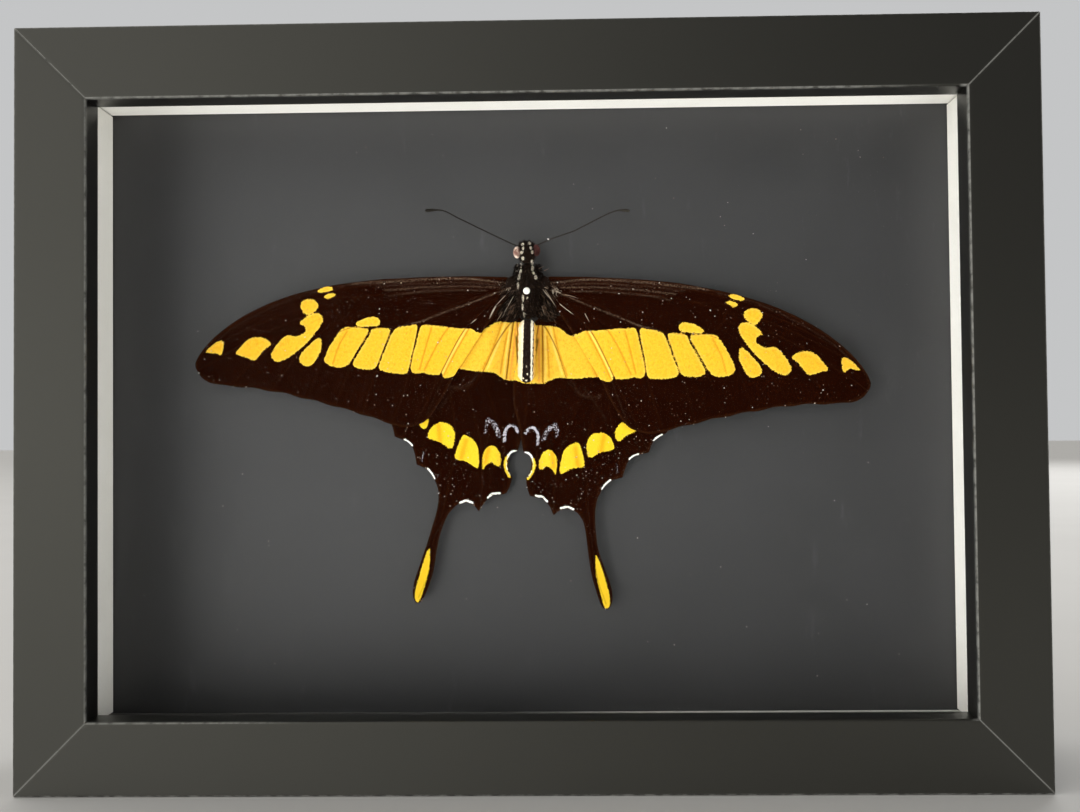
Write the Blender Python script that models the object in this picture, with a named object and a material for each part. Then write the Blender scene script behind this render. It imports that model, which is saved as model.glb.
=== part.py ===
"""Deep box frame, standing on its lower rail, with one set swallowtail butterfly pinned inside it.

The frame faces -Y and stands on z = 0, centred on x = 0 and y = 0. Depths are measured from the
front face towards +Y. The butterfly lies in planes parallel to the glass, and its points are given
in millimetres right of the frame's middle and above the frame's middle height.
"""

from math import cos, exp, pi, radians, sin

import bmesh
import bpy
import numpy as np

MM = 0.001

# Frame
FRAME_WIDTH = 0.200
FRAME_HEIGHT = 0.150
FRAME_DEPTH = 0.040
RAIL_FACE = 0.0143
RAIL_WALL = 0.0090
LIP_DEPTH = 0.0060
OUTER_ARRIS = 0.0006
INNER_ARRIS = 0.0004
MITRE_GAP = 0.0002
GAP = 0.0003

# The stack behind the lip
GLASS_THICK = 0.0020
SPACER_THICK = 0.0010
SPACER_DEEP = 0.0148
TOP_STRIP_DROP = 0.0007
CARD_THICK = 0.0010
PAD_THICK = 0.0050
BACKBOARD_THICK = 0.0025

# Steel at the back
POINT_WIDTH = 0.0070
POINT_THICK = 0.0005
POINT_IN_RAIL = 0.0045
POINT_OVER_BOARD = 0.0090
POINT_SPREAD = 0.0450
HANGER_SIZE = (0.0260, 0.0140, 0.0008)
HANGER_HEIGHT = 0.1130
HANGER_RIVET_SPREAD = 0.0095
RIVET_HEAD = (0.0022, 0.0006)
RIVET_SHANK_RADIUS = 0.0009
KEYHOLE_RADIUS = 0.0030
KEYHOLE_SLOT_RADIUS = 0.0015

# Butterfly: depths of the wing sheets, body axis and antennae behind the front face
WING_THICK = 0.00036
FORE_DEPTH = 0.0204
HIND_DEPTH_RIGHT = 0.0214
HIND_DEPTH_LEFT = 0.0221
THORAX_DEPTH = 0.0202
ABDOMEN_DEPTH = 0.0187
HEAD_DEPTH = 0.0192
ANTENNA_DEPTH = (0.0190, 0.0204)
PIN_PLACE = (-0.15, 24.0)
PIN_RADIUS = 0.00022
PIN_HEAD_RADIUS = 0.00072
PIN_HEAD_DEPTH = 0.0160
PIN_TIP_DEPTH = 0.0285
PIN_HOLE_RADIUS = 0.00055

# Right wings, as points in millimetres from the wing's root. The left ones are their mirror image,
# swung forward about the root by some degrees and a little smaller or larger, because the two sides
# did not grow and were not set quite alike. Beyond a hinge line the left forewing also bends forward,
# by so much rise and so much shortening for each millimetre. The left hindwing lies higher, with a
# narrower outer side and a longer tail that bows outwards.
FORE_ROOT = (2.8, 25.2)
FORE_LEFT_SWING = 2.9
FORE_LEFT_SCALE = 0.977
FORE_LEFT_HINGE = 27.0
FORE_LEFT_RISE = 0.036
FORE_LEFT_SHORTER = 0.008
HIND_ROOT = (2.0, 19.0)
HIND_LEFT_SWING = 7.6
HIND_LEFT_SCALE = 1.010
HIND_LEFT_LIFT = 0.75
HIND_LEFT_SIDE = 20.0
HIND_LEFT_NARROWER = 0.06
TAIL_BOW = (0.8, -28.5, 5.5)
TAIL_FROM = -20.0
TAIL_LONGER = 0.045
FORE_OUTLINE = [
    (0.3, 0.4), (1.4, 2.1), (7.2, 2.15), (17.2, 1.7), (27.2, 0.8), (37.2, -1.0), (47.2, -3.9),
    (57.2, -8.6), (62.2, -12.2), (65.2, -15.0), (67.7, -18.0), (68.9, -20.8), (68.5, -22.6),
    (66.9, -24.1), (63.2, -25.1), (57.2, -25.2), (50.2, -25.7), (43.2, -26.8), (37.2, -27.9),
    (31.2, -29.2), (26.2, -30.5), (22.7, -31.1), (19.8, -30.5), (17.4, -28.9), (14.5, -24.2),
    (12.2, -19.4), (9.4, -14.7), (6.5, -9.7), (3.2, -4.7), (0.3, -0.6),
]
HIND_OUTLINE = [
    (-0.8, -1.1), (1.2, 0.6), (6.0, -0.2), (12.0, -4.0), (18.0, -10.0), (23.5, -17.0),
    (26.4, -21.6), (27.2, -24.3), (25.4, -25.6), (24.1, -26.7), (23.2, -28.8), (21.0, -29.2),
    (19.2, -30.3), (18.3, -31.9), (17.6, -34.0), (15.2, -34.7), (13.4, -36.4), (12.2, -38.6),
    (11.7, -41.5), (11.8, -44.5), (12.3, -49.0), (13.6, -53.0), (14.95, -57.0), (15.2, -59.5),
    (14.75, -61.2), (13.95, -61.8), (12.95, -61.2), (11.75, -58.5), (10.75, -55.0), (10.2, -51.0),
    (9.85, -47.0), (9.25, -43.7), (8.0, -41.5), (6.4, -40.7), (4.6, -40.8), (2.95, -41.9),
    (2.1, -40.0), (0.7, -38.5), (-0.9, -38.1), (-2.0, -37.8), (-2.6, -36.0), (-2.8, -34.2),
    (-1.9, -32.6), (-1.6, -31.0), (-1.9, -29.4), (-3.3, -28.5), (-4.0, -24.0), (-4.9, -20.0),
    (-5.5, -16.0), (-4.6, -11.0), (-3.0, -6.0), (-1.7, -2.5),
]
# Teeth and corners of the hindwing's margin, by their number in the outline
HIND_CORNERS = {10, 14, 35, 39, 41, 45}

# Antenna middle lines, from the head to the club, and the club's share of the length
LEFT_ANTENNA = [(-2.3, 33.95), (-5.3, 35.4), (-9.7, 37.6), (-14.6, 40.1), (-18.0, 41.8), (-21.7, 41.9)]
RIGHT_ANTENNA = [(2.4, 34.2), (5.2, 35.4), (9.5, 36.9), (11.8, 38.0), (18.2, 41.1), (21.7, 41.3)]
ANTENNA_RADIUS = 0.00014
CLUB_RADIUS = 0.00034
CLUB_SHARE = 0.16


def clear_scene():
    for obj in list(bpy.data.objects):
        bpy.data.objects.remove(obj, do_unlink=True)


def finish(name, colour, roughness, metallic=0.0, alpha=1.0):
    """A plain Principled finish."""
    material = bpy.data.materials.new(name)
    material.use_nodes = True
    shader = material.node_tree.nodes["Principled BSDF"]
    shader.inputs["Base Color"].default_value = (*colour, 1.0)
    shader.inputs["Roughness"].default_value = roughness
    shader.inputs["Metallic"].default_value = metallic
    shader.inputs["Alpha"].default_value = alpha
    return material


def make_finishes():
    return {
        "black_foil": finish("black_foil", (0.012, 0.012, 0.013), 0.38),
        "clear_glass": finish("clear_glass", (0.9, 0.95, 0.93), 0.02, alpha=0.3),
        "white_card": finish("white_card", (0.80, 0.79, 0.76), 0.75),
        "black_card": finish("black_card", (0.035, 0.034, 0.034), 0.85),
        "pinning_pad": finish("pinning_pad", (0.72, 0.71, 0.68), 0.90),
        "hardboard": finish("hardboard", (0.23, 0.14, 0.08), 0.70),
        "zinc_steel": finish("zinc_steel", (0.55, 0.55, 0.54), 0.40, 1.0),
        "pin_steel": finish("pin_steel", (0.75, 0.75, 0.74), 0.25, 1.0),
        "wing_scales": finish("wing_scales", (0.045, 0.022, 0.014), 0.80),
        "body_fur": finish("body_fur", (0.030, 0.020, 0.016), 0.85),
    }


def world(x_mm, up_mm, depth):
    """A point of the butterfly in the frame's own axes."""
    return (x_mm * MM, depth - FRAME_DEPTH / 2, FRAME_HEIGHT / 2 + up_mm * MM)


def add_mesh(name, points, faces, material, smooth_degrees=35):
    """A mesh object from points and faces, with its faces turned outwards."""
    mesh = bpy.data.meshes.new(name)
    mesh.from_pydata([tuple(p) for p in points], [], faces)
    work = bmesh.new()
    work.from_mesh(mesh)
    bmesh.ops.recalc_face_normals(work, faces=work.faces)
    work.to_mesh(mesh)
    work.free()
    mesh.shade_smooth()
    mesh.set_sharp_from_angle(angle=radians(smooth_degrees))
    mesh.materials.append(material)
    obj = bpy.data.objects.new(name, mesh)
    bpy.context.scene.collection.objects.link(obj)
    return obj


def add_prism(name, ring_a, ring_b, material):
    """A solid between two matching rings of points."""
    count = len(ring_a)
    sides = [(i, (i + 1) % count, count + (i + 1) % count, count + i) for i in range(count)]
    caps = [tuple(range(count)), tuple(range(2 * count - 1, count - 1, -1))]
    return add_mesh(name, list(ring_a) + list(ring_b), sides + caps, material)


def add_box(name, low, high, material):
    """A box between two opposite corners."""
    ring = [(low[0], low[1]), (high[0], low[1]), (high[0], high[1]), (low[0], high[1])]
    return add_prism(name, [(x, y, low[2]) for x, y in ring], [(x, y, high[2]) for x, y in ring], material)


def as_cutter(obj):
    """Marks an object as one that only cuts others."""
    obj.hide_render = True
    obj.display_type = "WIRE"
    return obj


def cut(obj, cutter):
    modifier = obj.modifiers.new("cut_" + cutter.name, "BOOLEAN")
    modifier.operation = "DIFFERENCE"
    modifier.solver = "EXACT"
    modifier.object = cutter


def add_rod(name, place, depth_a, depth_b, radius, material, sides=20):
    """A round bar along the depth, at a point in millimetres from the frame's middle."""
    turn = [2 * pi * i / sides for i in range(sides)]
    ring = [(place[0] + radius / MM * cos(a), place[1] + radius / MM * sin(a)) for a in turn]
    ends = [[world(x, up, depth) for x, up in ring] for depth in (depth_a, depth_b)]
    return add_prism(name, *ends, material)


def rounded(corners, steps=3):
    """A closed outline from (x, y, radius) corners, with an arc of the given radius at each one."""
    outline = []
    count = len(corners)
    for i, (x, y, radius) in enumerate(corners):
        here = np.array([x, y])
        if radius == 0:
            outline.append(here)
            continue
        before = np.array(corners[i - 1][:2]) - here
        after = np.array(corners[(i + 1) % count][:2]) - here
        before = before / np.linalg.norm(before) * radius
        after = after / np.linalg.norm(after) * radius
        centre = here + before + after
        for step in range(steps + 1):
            angle = pi / 2 * step / steps
            outline.append(centre - after * cos(angle) - before * sin(angle))
    return outline


def rail_profile():
    """The rail's L section, as (distance in from the outer edge, depth behind the front face)."""
    return rounded([
        (0.0, 0.0, OUTER_ARRIS),
        (RAIL_FACE, 0.0, INNER_ARRIS),
        (RAIL_FACE, LIP_DEPTH, 0.0),
        (RAIL_WALL, LIP_DEPTH, 0.0),
        (RAIL_WALL, FRAME_DEPTH, 0.0),
        (0.0, FRAME_DEPTH, INNER_ARRIS),
    ])


def add_rail(name, side, material):
    """One rail with mitred ends: its section is carried from one 45 degree cut to the other."""
    across = side in ("top", "bottom")
    half_length = (FRAME_WIDTH if across else FRAME_HEIGHT) / 2 - MITRE_GAP
    rings = []
    for end in (-1, 1):
        ring = []
        for inward, depth in rail_profile():
            along = end * (half_length - inward)
            y = depth - FRAME_DEPTH / 2
            if side == "bottom":
                ring.append((along, y, inward))
            elif side == "top":
                ring.append((along, y, FRAME_HEIGHT - inward))
            elif side == "left":
                ring.append((inward - FRAME_WIDTH / 2, y, along + FRAME_HEIGHT / 2))
            else:
                ring.append((FRAME_WIDTH / 2 - inward, y, along + FRAME_HEIGHT / 2))
        rings.append(ring)
    return add_prism(name, *rings, material)


def rebate_box(name, depth_a, depth_b, material):
    """A sheet that fills the rebate with the usual gap all round, between two depths."""
    half = FRAME_WIDTH / 2 - RAIL_WALL - GAP
    low = (-half, depth_a - FRAME_DEPTH / 2, RAIL_WALL + GAP)
    high = (half, depth_b - FRAME_DEPTH / 2, FRAME_HEIGHT - RAIL_WALL - GAP)
    return add_box(name, low, high, material)


def add_spacers(front, material):
    """Four white card strips that line the rebate between the glass and the black card."""
    back = front + SPACER_DEEP
    y = (front - FRAME_DEPTH / 2, back - FRAME_DEPTH / 2)
    x_out = FRAME_WIDTH / 2 - RAIL_WALL - GAP
    z_low = RAIL_WALL + GAP
    z_high = FRAME_HEIGHT - RAIL_WALL - GAP - TOP_STRIP_DROP
    side_low = z_low + SPACER_THICK + GAP
    side_high = z_high - SPACER_THICK - GAP
    add_box("spacer_bottom", (-x_out, y[0], z_low), (x_out, y[1], z_low + SPACER_THICK), material)
    add_box("spacer_top", (-x_out, y[0], z_high - SPACER_THICK), (x_out, y[1], z_high), material)
    for name, edge in (("spacer_left", -x_out), ("spacer_right", x_out - SPACER_THICK)):
        add_box(name, (edge, y[0], side_low), (edge + SPACER_THICK, y[1], side_high), material)


def add_points(rails, board_back, material):
    """Bendable steel points, driven into slots in the rails, that hold the backboard in."""
    front = board_back + GAP - FRAME_DEPTH / 2
    tongue = [
        (-POINT_IN_RAIL, -POINT_WIDTH / 2),
        (POINT_OVER_BOARD - POINT_WIDTH / 2, -POINT_WIDTH / 2),
        (POINT_OVER_BOARD, 0.0),
        (POINT_OVER_BOARD - POINT_WIDTH / 2, POINT_WIDTH / 2),
        (-POINT_IN_RAIL, POINT_WIDTH / 2),
    ]
    places = [("top", "top_1", -POINT_SPREAD), ("top", "top_2", POINT_SPREAD),
              ("bottom", "bottom_1", -POINT_SPREAD), ("bottom", "bottom_2", POINT_SPREAD),
              ("left", "left", 0.0), ("right", "right", 0.0)]
    for side, label, along in places:
        slot = [(-POINT_IN_RAIL - GAP, -POINT_WIDTH / 2 - GAP), (GAP * 2, -POINT_WIDTH / 2 - GAP),
                (GAP * 2, POINT_WIDTH / 2 + GAP), (-POINT_IN_RAIL - GAP, POINT_WIDTH / 2 + GAP)]
        for shape, extra, kind in ((tongue, 0.0, "point"), (slot, GAP, "slot")):
            rings = []
            for y in (front - extra, front + POINT_THICK + extra):
                rings.append([point_place(side, reach, along + across, y) for reach, across in shape])
            made = add_prism(f"{kind}_{label}", *rings, material)
            if kind == "slot":
                cut(rails[side], as_cutter(made))


def point_place(side, reach, along, y):
    """World place of a spot that reaches in from the rebate wall of one rail."""
    inward = RAIL_WALL + reach
    if side == "bottom":
        return (along, y, inward)
    if side == "top":
        return (along, y, FRAME_HEIGHT - inward)
    x = FRAME_WIDTH / 2 - inward
    return (x if side == "right" else -x, y, FRAME_HEIGHT / 2 + along)


def add_hanger(board, board_front, board_back, material):
    """A steel hanging plate with a keyhole, on the back of the backboard, and its two rivets."""
    width, height, thick = HANGER_SIZE
    up = (HANGER_HEIGHT - FRAME_HEIGHT / 2) / MM
    front = board_back + GAP
    outline = rounded([
        (-width / 2, HANGER_HEIGHT - height / 2, height / 3),
        (width / 2, HANGER_HEIGHT - height / 2, height / 3),
        (width / 2, HANGER_HEIGHT + height / 2, height / 3),
        (-width / 2, HANGER_HEIGHT + height / 2, height / 3),
    ], steps=5)
    ends = [[(x, depth - FRAME_DEPTH / 2, z) for x, z in outline] for depth in (front, front + thick)]
    plate = add_prism("hanger_plate", *ends, material)
    past = 2 * thick
    wide = add_rod("keyhole", (0.0, up - 2.0), front - past, front + thick + past, KEYHOLE_RADIUS, material)
    slot_low = HANGER_HEIGHT - 2.0 * MM
    slot_high = HANGER_HEIGHT + 4.0 * MM
    slot_outline = rounded([
        (-KEYHOLE_SLOT_RADIUS, slot_low, 0.0),
        (KEYHOLE_SLOT_RADIUS, slot_low, 0.0),
        (KEYHOLE_SLOT_RADIUS, slot_high, KEYHOLE_SLOT_RADIUS * 0.99),
        (-KEYHOLE_SLOT_RADIUS, slot_high, KEYHOLE_SLOT_RADIUS * 0.99),
    ])
    slot_y = (front - past - FRAME_DEPTH / 2, front + thick + past - FRAME_DEPTH / 2)
    slot = add_prism("keyhole_slot", *[[(x, y, z) for x, z in slot_outline] for y in slot_y], material)
    cut(plate, as_cutter(wide))
    cut(plate, as_cutter(slot))
    for index, side in enumerate((-1, 1), start=1):
        place = (side * HANGER_RIVET_SPREAD / MM, up)
        bore = add_rod(f"rivet_bore_{index}", place, board_front - past, front + thick + past,
                       RIVET_SHANK_RADIUS + GAP, material)
        cut(plate, as_cutter(bore))
        cut(board, bore)
        add_rivet(f"hanger_rivet_{index}", place, board_front + GAP, front + thick + GAP, material)


def add_rivet(name, place, tip, head_front, material):
    """A round-headed rivet turned about the depth: (radius, depth) from its tip to its crown."""
    radius, rise = RIVET_HEAD
    profile = [(RIVET_SHANK_RADIUS, tip), (RIVET_SHANK_RADIUS, head_front), (radius, head_front)]
    for step in range(1, 4):
        angle = pi / 2 * step / 4
        profile.append((radius * cos(angle), head_front + rise * sin(angle)))
    add_turned(name, place, profile, tip, head_front + rise, material)


def add_turned(name, place, profile, depth_first, depth_last, material, sides=20):
    """A solid turned about the depth axis through a place, closed by a point at each end."""
    points = [world(place[0], place[1], depth_first)]
    for radius, depth in profile:
        for i in range(sides):
            angle = 2 * pi * i / sides
            x = place[0] + radius / MM * cos(angle)
            points.append(world(x, place[1] + radius / MM * sin(angle), depth))
    points.append(world(place[0], place[1], depth_last))
    return add_mesh(name, points, ring_skin(len(profile), sides), material)


def ring_skin(rings, sides):
    """Faces over rings of points that start and end in a single point: pole, rings in order, pole."""
    last = 1 + rings * sides
    faces = []
    for i in range(sides):
        following = (i + 1) % sides
        faces.append((0, 1 + i, 1 + following))
        faces.append((last, last - sides + following, last - sides + i))
        for ring in range(rings - 1):
            start = 1 + ring * sides
            faces.append((start + i, start + following, start + sides + following, start + sides + i))
    return faces


def smooth_outline(points, corners=(), steps=4):
    """A closed Catmull-Rom curve through the points, which turns sharply at the numbered corners."""
    points = np.array(points, float)
    count = len(points)
    outline = []
    for i in range(count):
        p0, p1, p2, p3 = (points[(i + k) % count] for k in (-1, 0, 1, 2))
        if i in corners:
            p0 = p1
        if (i + 1) % count in corners:
            p3 = p2
        for step in range(steps):
            t = step / steps
            outline.append(0.5 * (2 * p1 + (p2 - p0) * t + (2 * p0 - 5 * p1 + 4 * p2 - p3) * t**2
                                  + (3 * p1 - p0 - 3 * p2 + p3) * t**3))
    return outline


def as_right(root, x, up):
    """A right wing's point, from its place off the root."""
    return root[0] + x, root[1] + up


def swung(root, x, up, swing, scale):
    """A point off the root, scaled and swung forward about it."""
    turn = radians(swing)
    return (root[0] + scale * (x * cos(turn) - up * sin(turn)),
            root[1] + scale * (x * sin(turn) + up * cos(turn)))


def as_left_fore(root, x, up):
    """The left forewing's point, before mirroring."""
    x, up = swung(root, x, up, FORE_LEFT_SWING, FORE_LEFT_SCALE)
    beyond = max(0.0, x - FORE_LEFT_HINGE)
    return x - FORE_LEFT_SHORTER * beyond, up + FORE_LEFT_RISE * beyond


def as_left_hind(root, x, up):
    """The left hindwing's point, before mirroring."""
    x, up = swung(root, x, up, HIND_LEFT_SWING, HIND_LEFT_SCALE)
    reach, height, spread = TAIL_BOW
    x += reach * exp(-(((up - height) / spread) ** 2)) - HIND_LEFT_NARROWER * max(0.0, x - HIND_LEFT_SIDE)
    return x, up + HIND_LEFT_LIFT - TAIL_LONGER * max(0.0, TAIL_FROM - up)


def add_wing(name, outline, corners, root, side, fit, depth, material):
    """A wing as a thin sheet: fit places its outline's points, and side -1 mirrors them."""
    places = []
    for x, up in smooth_outline(outline, corners):
        x, up = fit(root, x, up)
        places.append((side * x, up))
    ends = [[world(x, up, d) for x, up in places] for d in (depth - WING_THICK / 2, depth + WING_THICK / 2)]
    return add_prism(name, *ends, material)


def add_body_part(name, low, high, depth, widths, flatness, material, sides=18):
    """A body part turned about the line from low to high, which is nearly upright.

    widths gives (share of the length, half-width in millimetres), and flatness is the half-depth
    as a share of the half-width.
    """
    low = np.array(low, float)
    high = np.array(high, float)
    points = [world(*low, depth)]
    for share, half in widths:
        middle = low + (high - low) * share
        for i in range(sides):
            angle = 2 * pi * i / sides
            ring_depth = depth + half * MM * flatness * sin(angle)
            points.append(world(middle[0] + half * cos(angle), middle[1], ring_depth))
    points.append(world(*high, depth))
    return add_mesh(name, points, ring_skin(len(widths), sides), material)


def egg(half_width, rings=9):
    """Half-widths of an egg-shaped part along its length."""
    shares = [(1 - cos(pi * (i + 1) / (rings + 1))) / 2 for i in range(rings)]
    return [(share, half_width * 2 * (share * (1 - share)) ** 0.5) for share in shares]


def add_antenna(name, path, material):
    """A thin rod that swells into a club at its tip, along a smooth middle line."""
    path = np.array(path, float)
    count = 25
    shares = np.linspace(0, len(path) - 1, count)
    padded = np.vstack([2 * path[0] - path[1], path, 2 * path[-1] - path[-2]])
    curve = bpy.data.curves.new(name, "CURVE")
    curve.dimensions = "3D"
    curve.bevel_depth = ANTENNA_RADIUS
    curve.bevel_resolution = 2
    curve.use_fill_caps = True
    spline = curve.splines.new("POLY")
    spline.points.add(count - 1)
    for i, s in enumerate(shares):
        k = min(int(s), len(path) - 2)
        t = s - k
        p0, p1, p2, p3 = padded[k:k + 4]
        x, up = 0.5 * (2 * p1 + (p2 - p0) * t + (2 * p0 - 5 * p1 + 4 * p2 - p3) * t**2
                       + (3 * p1 - p0 - 3 * p2 + p3) * t**3)
        along = i / (count - 1)
        depth = ANTENNA_DEPTH[0] + (ANTENNA_DEPTH[1] - ANTENNA_DEPTH[0]) * along
        spline.points[i].co = (*world(x, up, depth), 1.0)
        club = max(0.0, (along - 1 + CLUB_SHARE) / CLUB_SHARE)
        spline.points[i].radius = 1 + (CLUB_RADIUS / ANTENNA_RADIUS - 1) * sin(pi * 0.8 * club)
    curve.materials.append(material)
    obj = bpy.data.objects.new(name, curve)
    bpy.context.scene.collection.objects.link(obj)
    return obj


def add_butterfly(finishes):
    """Head, thorax, abdomen, antennae and the four wings. Returns the thorax."""
    scales, fur = finishes["wing_scales"], finishes["body_fur"]
    add_wing("forewing_right", FORE_OUTLINE, (), FORE_ROOT, 1, as_right, FORE_DEPTH, scales)
    add_wing("forewing_left", FORE_OUTLINE, (), FORE_ROOT, -1, as_left_fore, FORE_DEPTH, scales)
    add_wing("hindwing_right", HIND_OUTLINE, HIND_CORNERS, HIND_ROOT, 1, as_right, HIND_DEPTH_RIGHT,
             scales)
    add_wing("hindwing_left", HIND_OUTLINE, HIND_CORNERS, HIND_ROOT, -1, as_left_hind,
             HIND_DEPTH_LEFT, scales)
    add_body_part("head", (0.15, 30.7), (0.15, 34.5), HEAD_DEPTH, egg(2.7), 0.75, fur)
    thorax = add_body_part("thorax", (0.0, 18.5), (0.05, 30.3), THORAX_DEPTH, egg(2.65), 1.15, fur)
    abdomen = [(0.02, 0.8), (0.07, 1.25), (0.16, 1.6), (0.35, 1.85), (0.6, 1.95), (0.8, 1.95),
               (0.92, 1.7), (0.98, 0.9)]
    add_body_part("abdomen", (-0.45, 4.9), (-0.05, 18.1), ABDOMEN_DEPTH, abdomen, 1.0, fur)
    add_antenna("antenna_left", LEFT_ANTENNA, fur)
    add_antenna("antenna_right", RIGHT_ANTENNA, fur)
    return thorax


def add_pin(material):
    """The insect pin: a round head on a thin shaft with a tapered tip."""
    head = []
    for step in range(1, 6):
        angle = pi * step / 6
        head.append((PIN_HEAD_RADIUS * sin(angle), PIN_HEAD_DEPTH - PIN_HEAD_RADIUS * cos(angle)))
    shaft_end = PIN_TIP_DEPTH - 10 * PIN_RADIUS
    shaft = [(PIN_RADIUS, PIN_HEAD_DEPTH + PIN_HEAD_RADIUS), (PIN_RADIUS, shaft_end)]
    add_turned("insect_pin", PIN_PLACE, head + shaft, PIN_HEAD_DEPTH - PIN_HEAD_RADIUS, PIN_TIP_DEPTH,
               material, sides=14)


def main():
    clear_scene()
    finishes = make_finishes()
    foil = finishes["black_foil"]
    rails = {side: add_rail("rail_" + side, side, foil) for side in ("top", "bottom", "left", "right")}

    glass_front = LIP_DEPTH + GAP
    spacer_front = glass_front + GLASS_THICK + GAP
    card_front = spacer_front + SPACER_DEEP + GAP
    pad_front = card_front + CARD_THICK + GAP
    board_front = pad_front + PAD_THICK + GAP
    board_back = board_front + BACKBOARD_THICK
    rebate_box("glass", glass_front, glass_front + GLASS_THICK, finishes["clear_glass"])
    add_spacers(spacer_front, finishes["white_card"])
    card = rebate_box("backing_card", card_front, card_front + CARD_THICK, finishes["black_card"])
    pad = rebate_box("pinning_pad", pad_front, pad_front + PAD_THICK, finishes["pinning_pad"])
    board = rebate_box("backboard", board_front, board_back, finishes["hardboard"])
    add_points(rails, board_back, finishes["zinc_steel"])
    add_hanger(board, board_front, board_back, finishes["zinc_steel"])

    thorax = add_butterfly(finishes)
    add_pin(finishes["pin_steel"])
    hole = add_rod("pin_hole", PIN_PLACE, PIN_HEAD_DEPTH - 0.004, board_front - GAP / 2,
                   PIN_HOLE_RADIUS, foil, sides=14)
    for obj in (thorax, card, pad):
        cut(obj, as_cutter(hole))


main()
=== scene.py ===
"""Deep box frame with a set swallowtail butterfly: its finish and fine detail.

Lengths are in metres, except the wing and body drawings, which are in millimetres right of the
frame's middle line and above its middle height, as the right-hand wings are set.
"""

from math import cos, pi, radians, sin

import bpy
import numpy as np
from bpy.props import FloatProperty, FloatVectorProperty, IntProperty, PointerProperty
from bpy.types import Operator, Panel, PropertyGroup
from mathutils import Matrix, Vector


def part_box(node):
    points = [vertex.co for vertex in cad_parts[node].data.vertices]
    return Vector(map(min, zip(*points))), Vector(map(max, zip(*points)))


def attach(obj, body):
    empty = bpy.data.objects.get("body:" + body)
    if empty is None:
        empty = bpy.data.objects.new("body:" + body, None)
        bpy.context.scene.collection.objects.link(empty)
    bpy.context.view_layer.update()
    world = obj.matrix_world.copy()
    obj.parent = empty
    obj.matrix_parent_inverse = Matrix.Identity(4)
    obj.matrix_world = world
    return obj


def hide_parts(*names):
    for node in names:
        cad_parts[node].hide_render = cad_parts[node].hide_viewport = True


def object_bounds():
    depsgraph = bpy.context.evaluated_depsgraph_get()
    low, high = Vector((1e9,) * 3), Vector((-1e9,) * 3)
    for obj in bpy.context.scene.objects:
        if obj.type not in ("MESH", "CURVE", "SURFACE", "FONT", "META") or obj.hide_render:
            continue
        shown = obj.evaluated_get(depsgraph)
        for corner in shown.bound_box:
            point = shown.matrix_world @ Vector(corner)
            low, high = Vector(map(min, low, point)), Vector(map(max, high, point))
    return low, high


bl_info = {
    "name": "Framed butterfly specimen",
    "version": (1, 0, 0),
    "blender": (4, 5, 0),
    "location": "3D View > Sidebar > Specimen",
    "description": "Builds the finish and fine detail of a box-framed swallowtail butterfly",
    "category": "Object",
}

MM = 0.001
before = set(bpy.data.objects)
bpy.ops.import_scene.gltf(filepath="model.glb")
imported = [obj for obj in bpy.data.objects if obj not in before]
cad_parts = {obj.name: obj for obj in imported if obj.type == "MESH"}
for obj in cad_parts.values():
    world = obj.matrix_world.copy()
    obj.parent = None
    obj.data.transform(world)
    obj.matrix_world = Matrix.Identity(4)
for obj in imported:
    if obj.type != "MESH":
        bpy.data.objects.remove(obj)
CAD_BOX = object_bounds()
FRAME_LOW, FRAME_HIGH = (np.array(corner) for corner in CAD_BOX)
FRONT = FRAME_LOW[1]
MIDDLE_HEIGHT = (FRAME_LOW[2] + FRAME_HIGH[2]) / 2
CARD_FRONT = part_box("backing_card")[0][1]
FORE_PLANE = (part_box("forewing_right")[0][1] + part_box("forewing_right")[1][1]) / 2
HIND_PLANE = {
    1: (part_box("hindwing_right")[0][1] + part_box("hindwing_right")[1][1]) / 2,
    -1: (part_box("hindwing_left")[0][1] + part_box("hindwing_left")[1][1]) / 2,
}

# ---------------------------------------------------------------------------------------------
# Wing drawings
# ---------------------------------------------------------------------------------------------
# Each wing is spanned between its leading and its trailing edge. A row holds a point of the
# leading edge, the point of the trailing edge that it is joined to and, where the line between
# them bows upwards, how far. A point marked True is a corner of that edge.
FORE_ROOT = (2.8, 25.2)
FORE_SPAN = [
    ((3.1, 25.6), (3.1, 24.6)), ((4.2, 27.3), (6, 20.5)), ((7.8, 27.4), (9.3, 15.5)),
    ((11.8, 27.35), (12.2, 10.5)), ((15.8, 27.15), (15, 5.8)), ((20, 26.9), (17.3, 1)),
    ((24.3, 26.6), (20.2, -3.7)), ((27.8, 26.25), (22.6, -5.3)), ((31.3, 25.85), (25.5, -5.9)),
    ((35.8, 25.05), (29, -5.3)), ((41.3, 23.9), (34, -4)), ((46.8, 22.35), (40, -2.7)),
    ((51.8, 20.6), (46, -1.6)), ((57, 18.2), (53, -0.5)), ((62, 15.25), (60, 0)),
    ((66, 12.1), (66, 0.1)), ((68.9, 9.2), (69.7, 1.1)), ((71, 6.2), (71.3, 2.6)),
    ((71.75, 4.3), (71.7, 3.7)),
]
HIND_ROOT = (2, 19)
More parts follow.
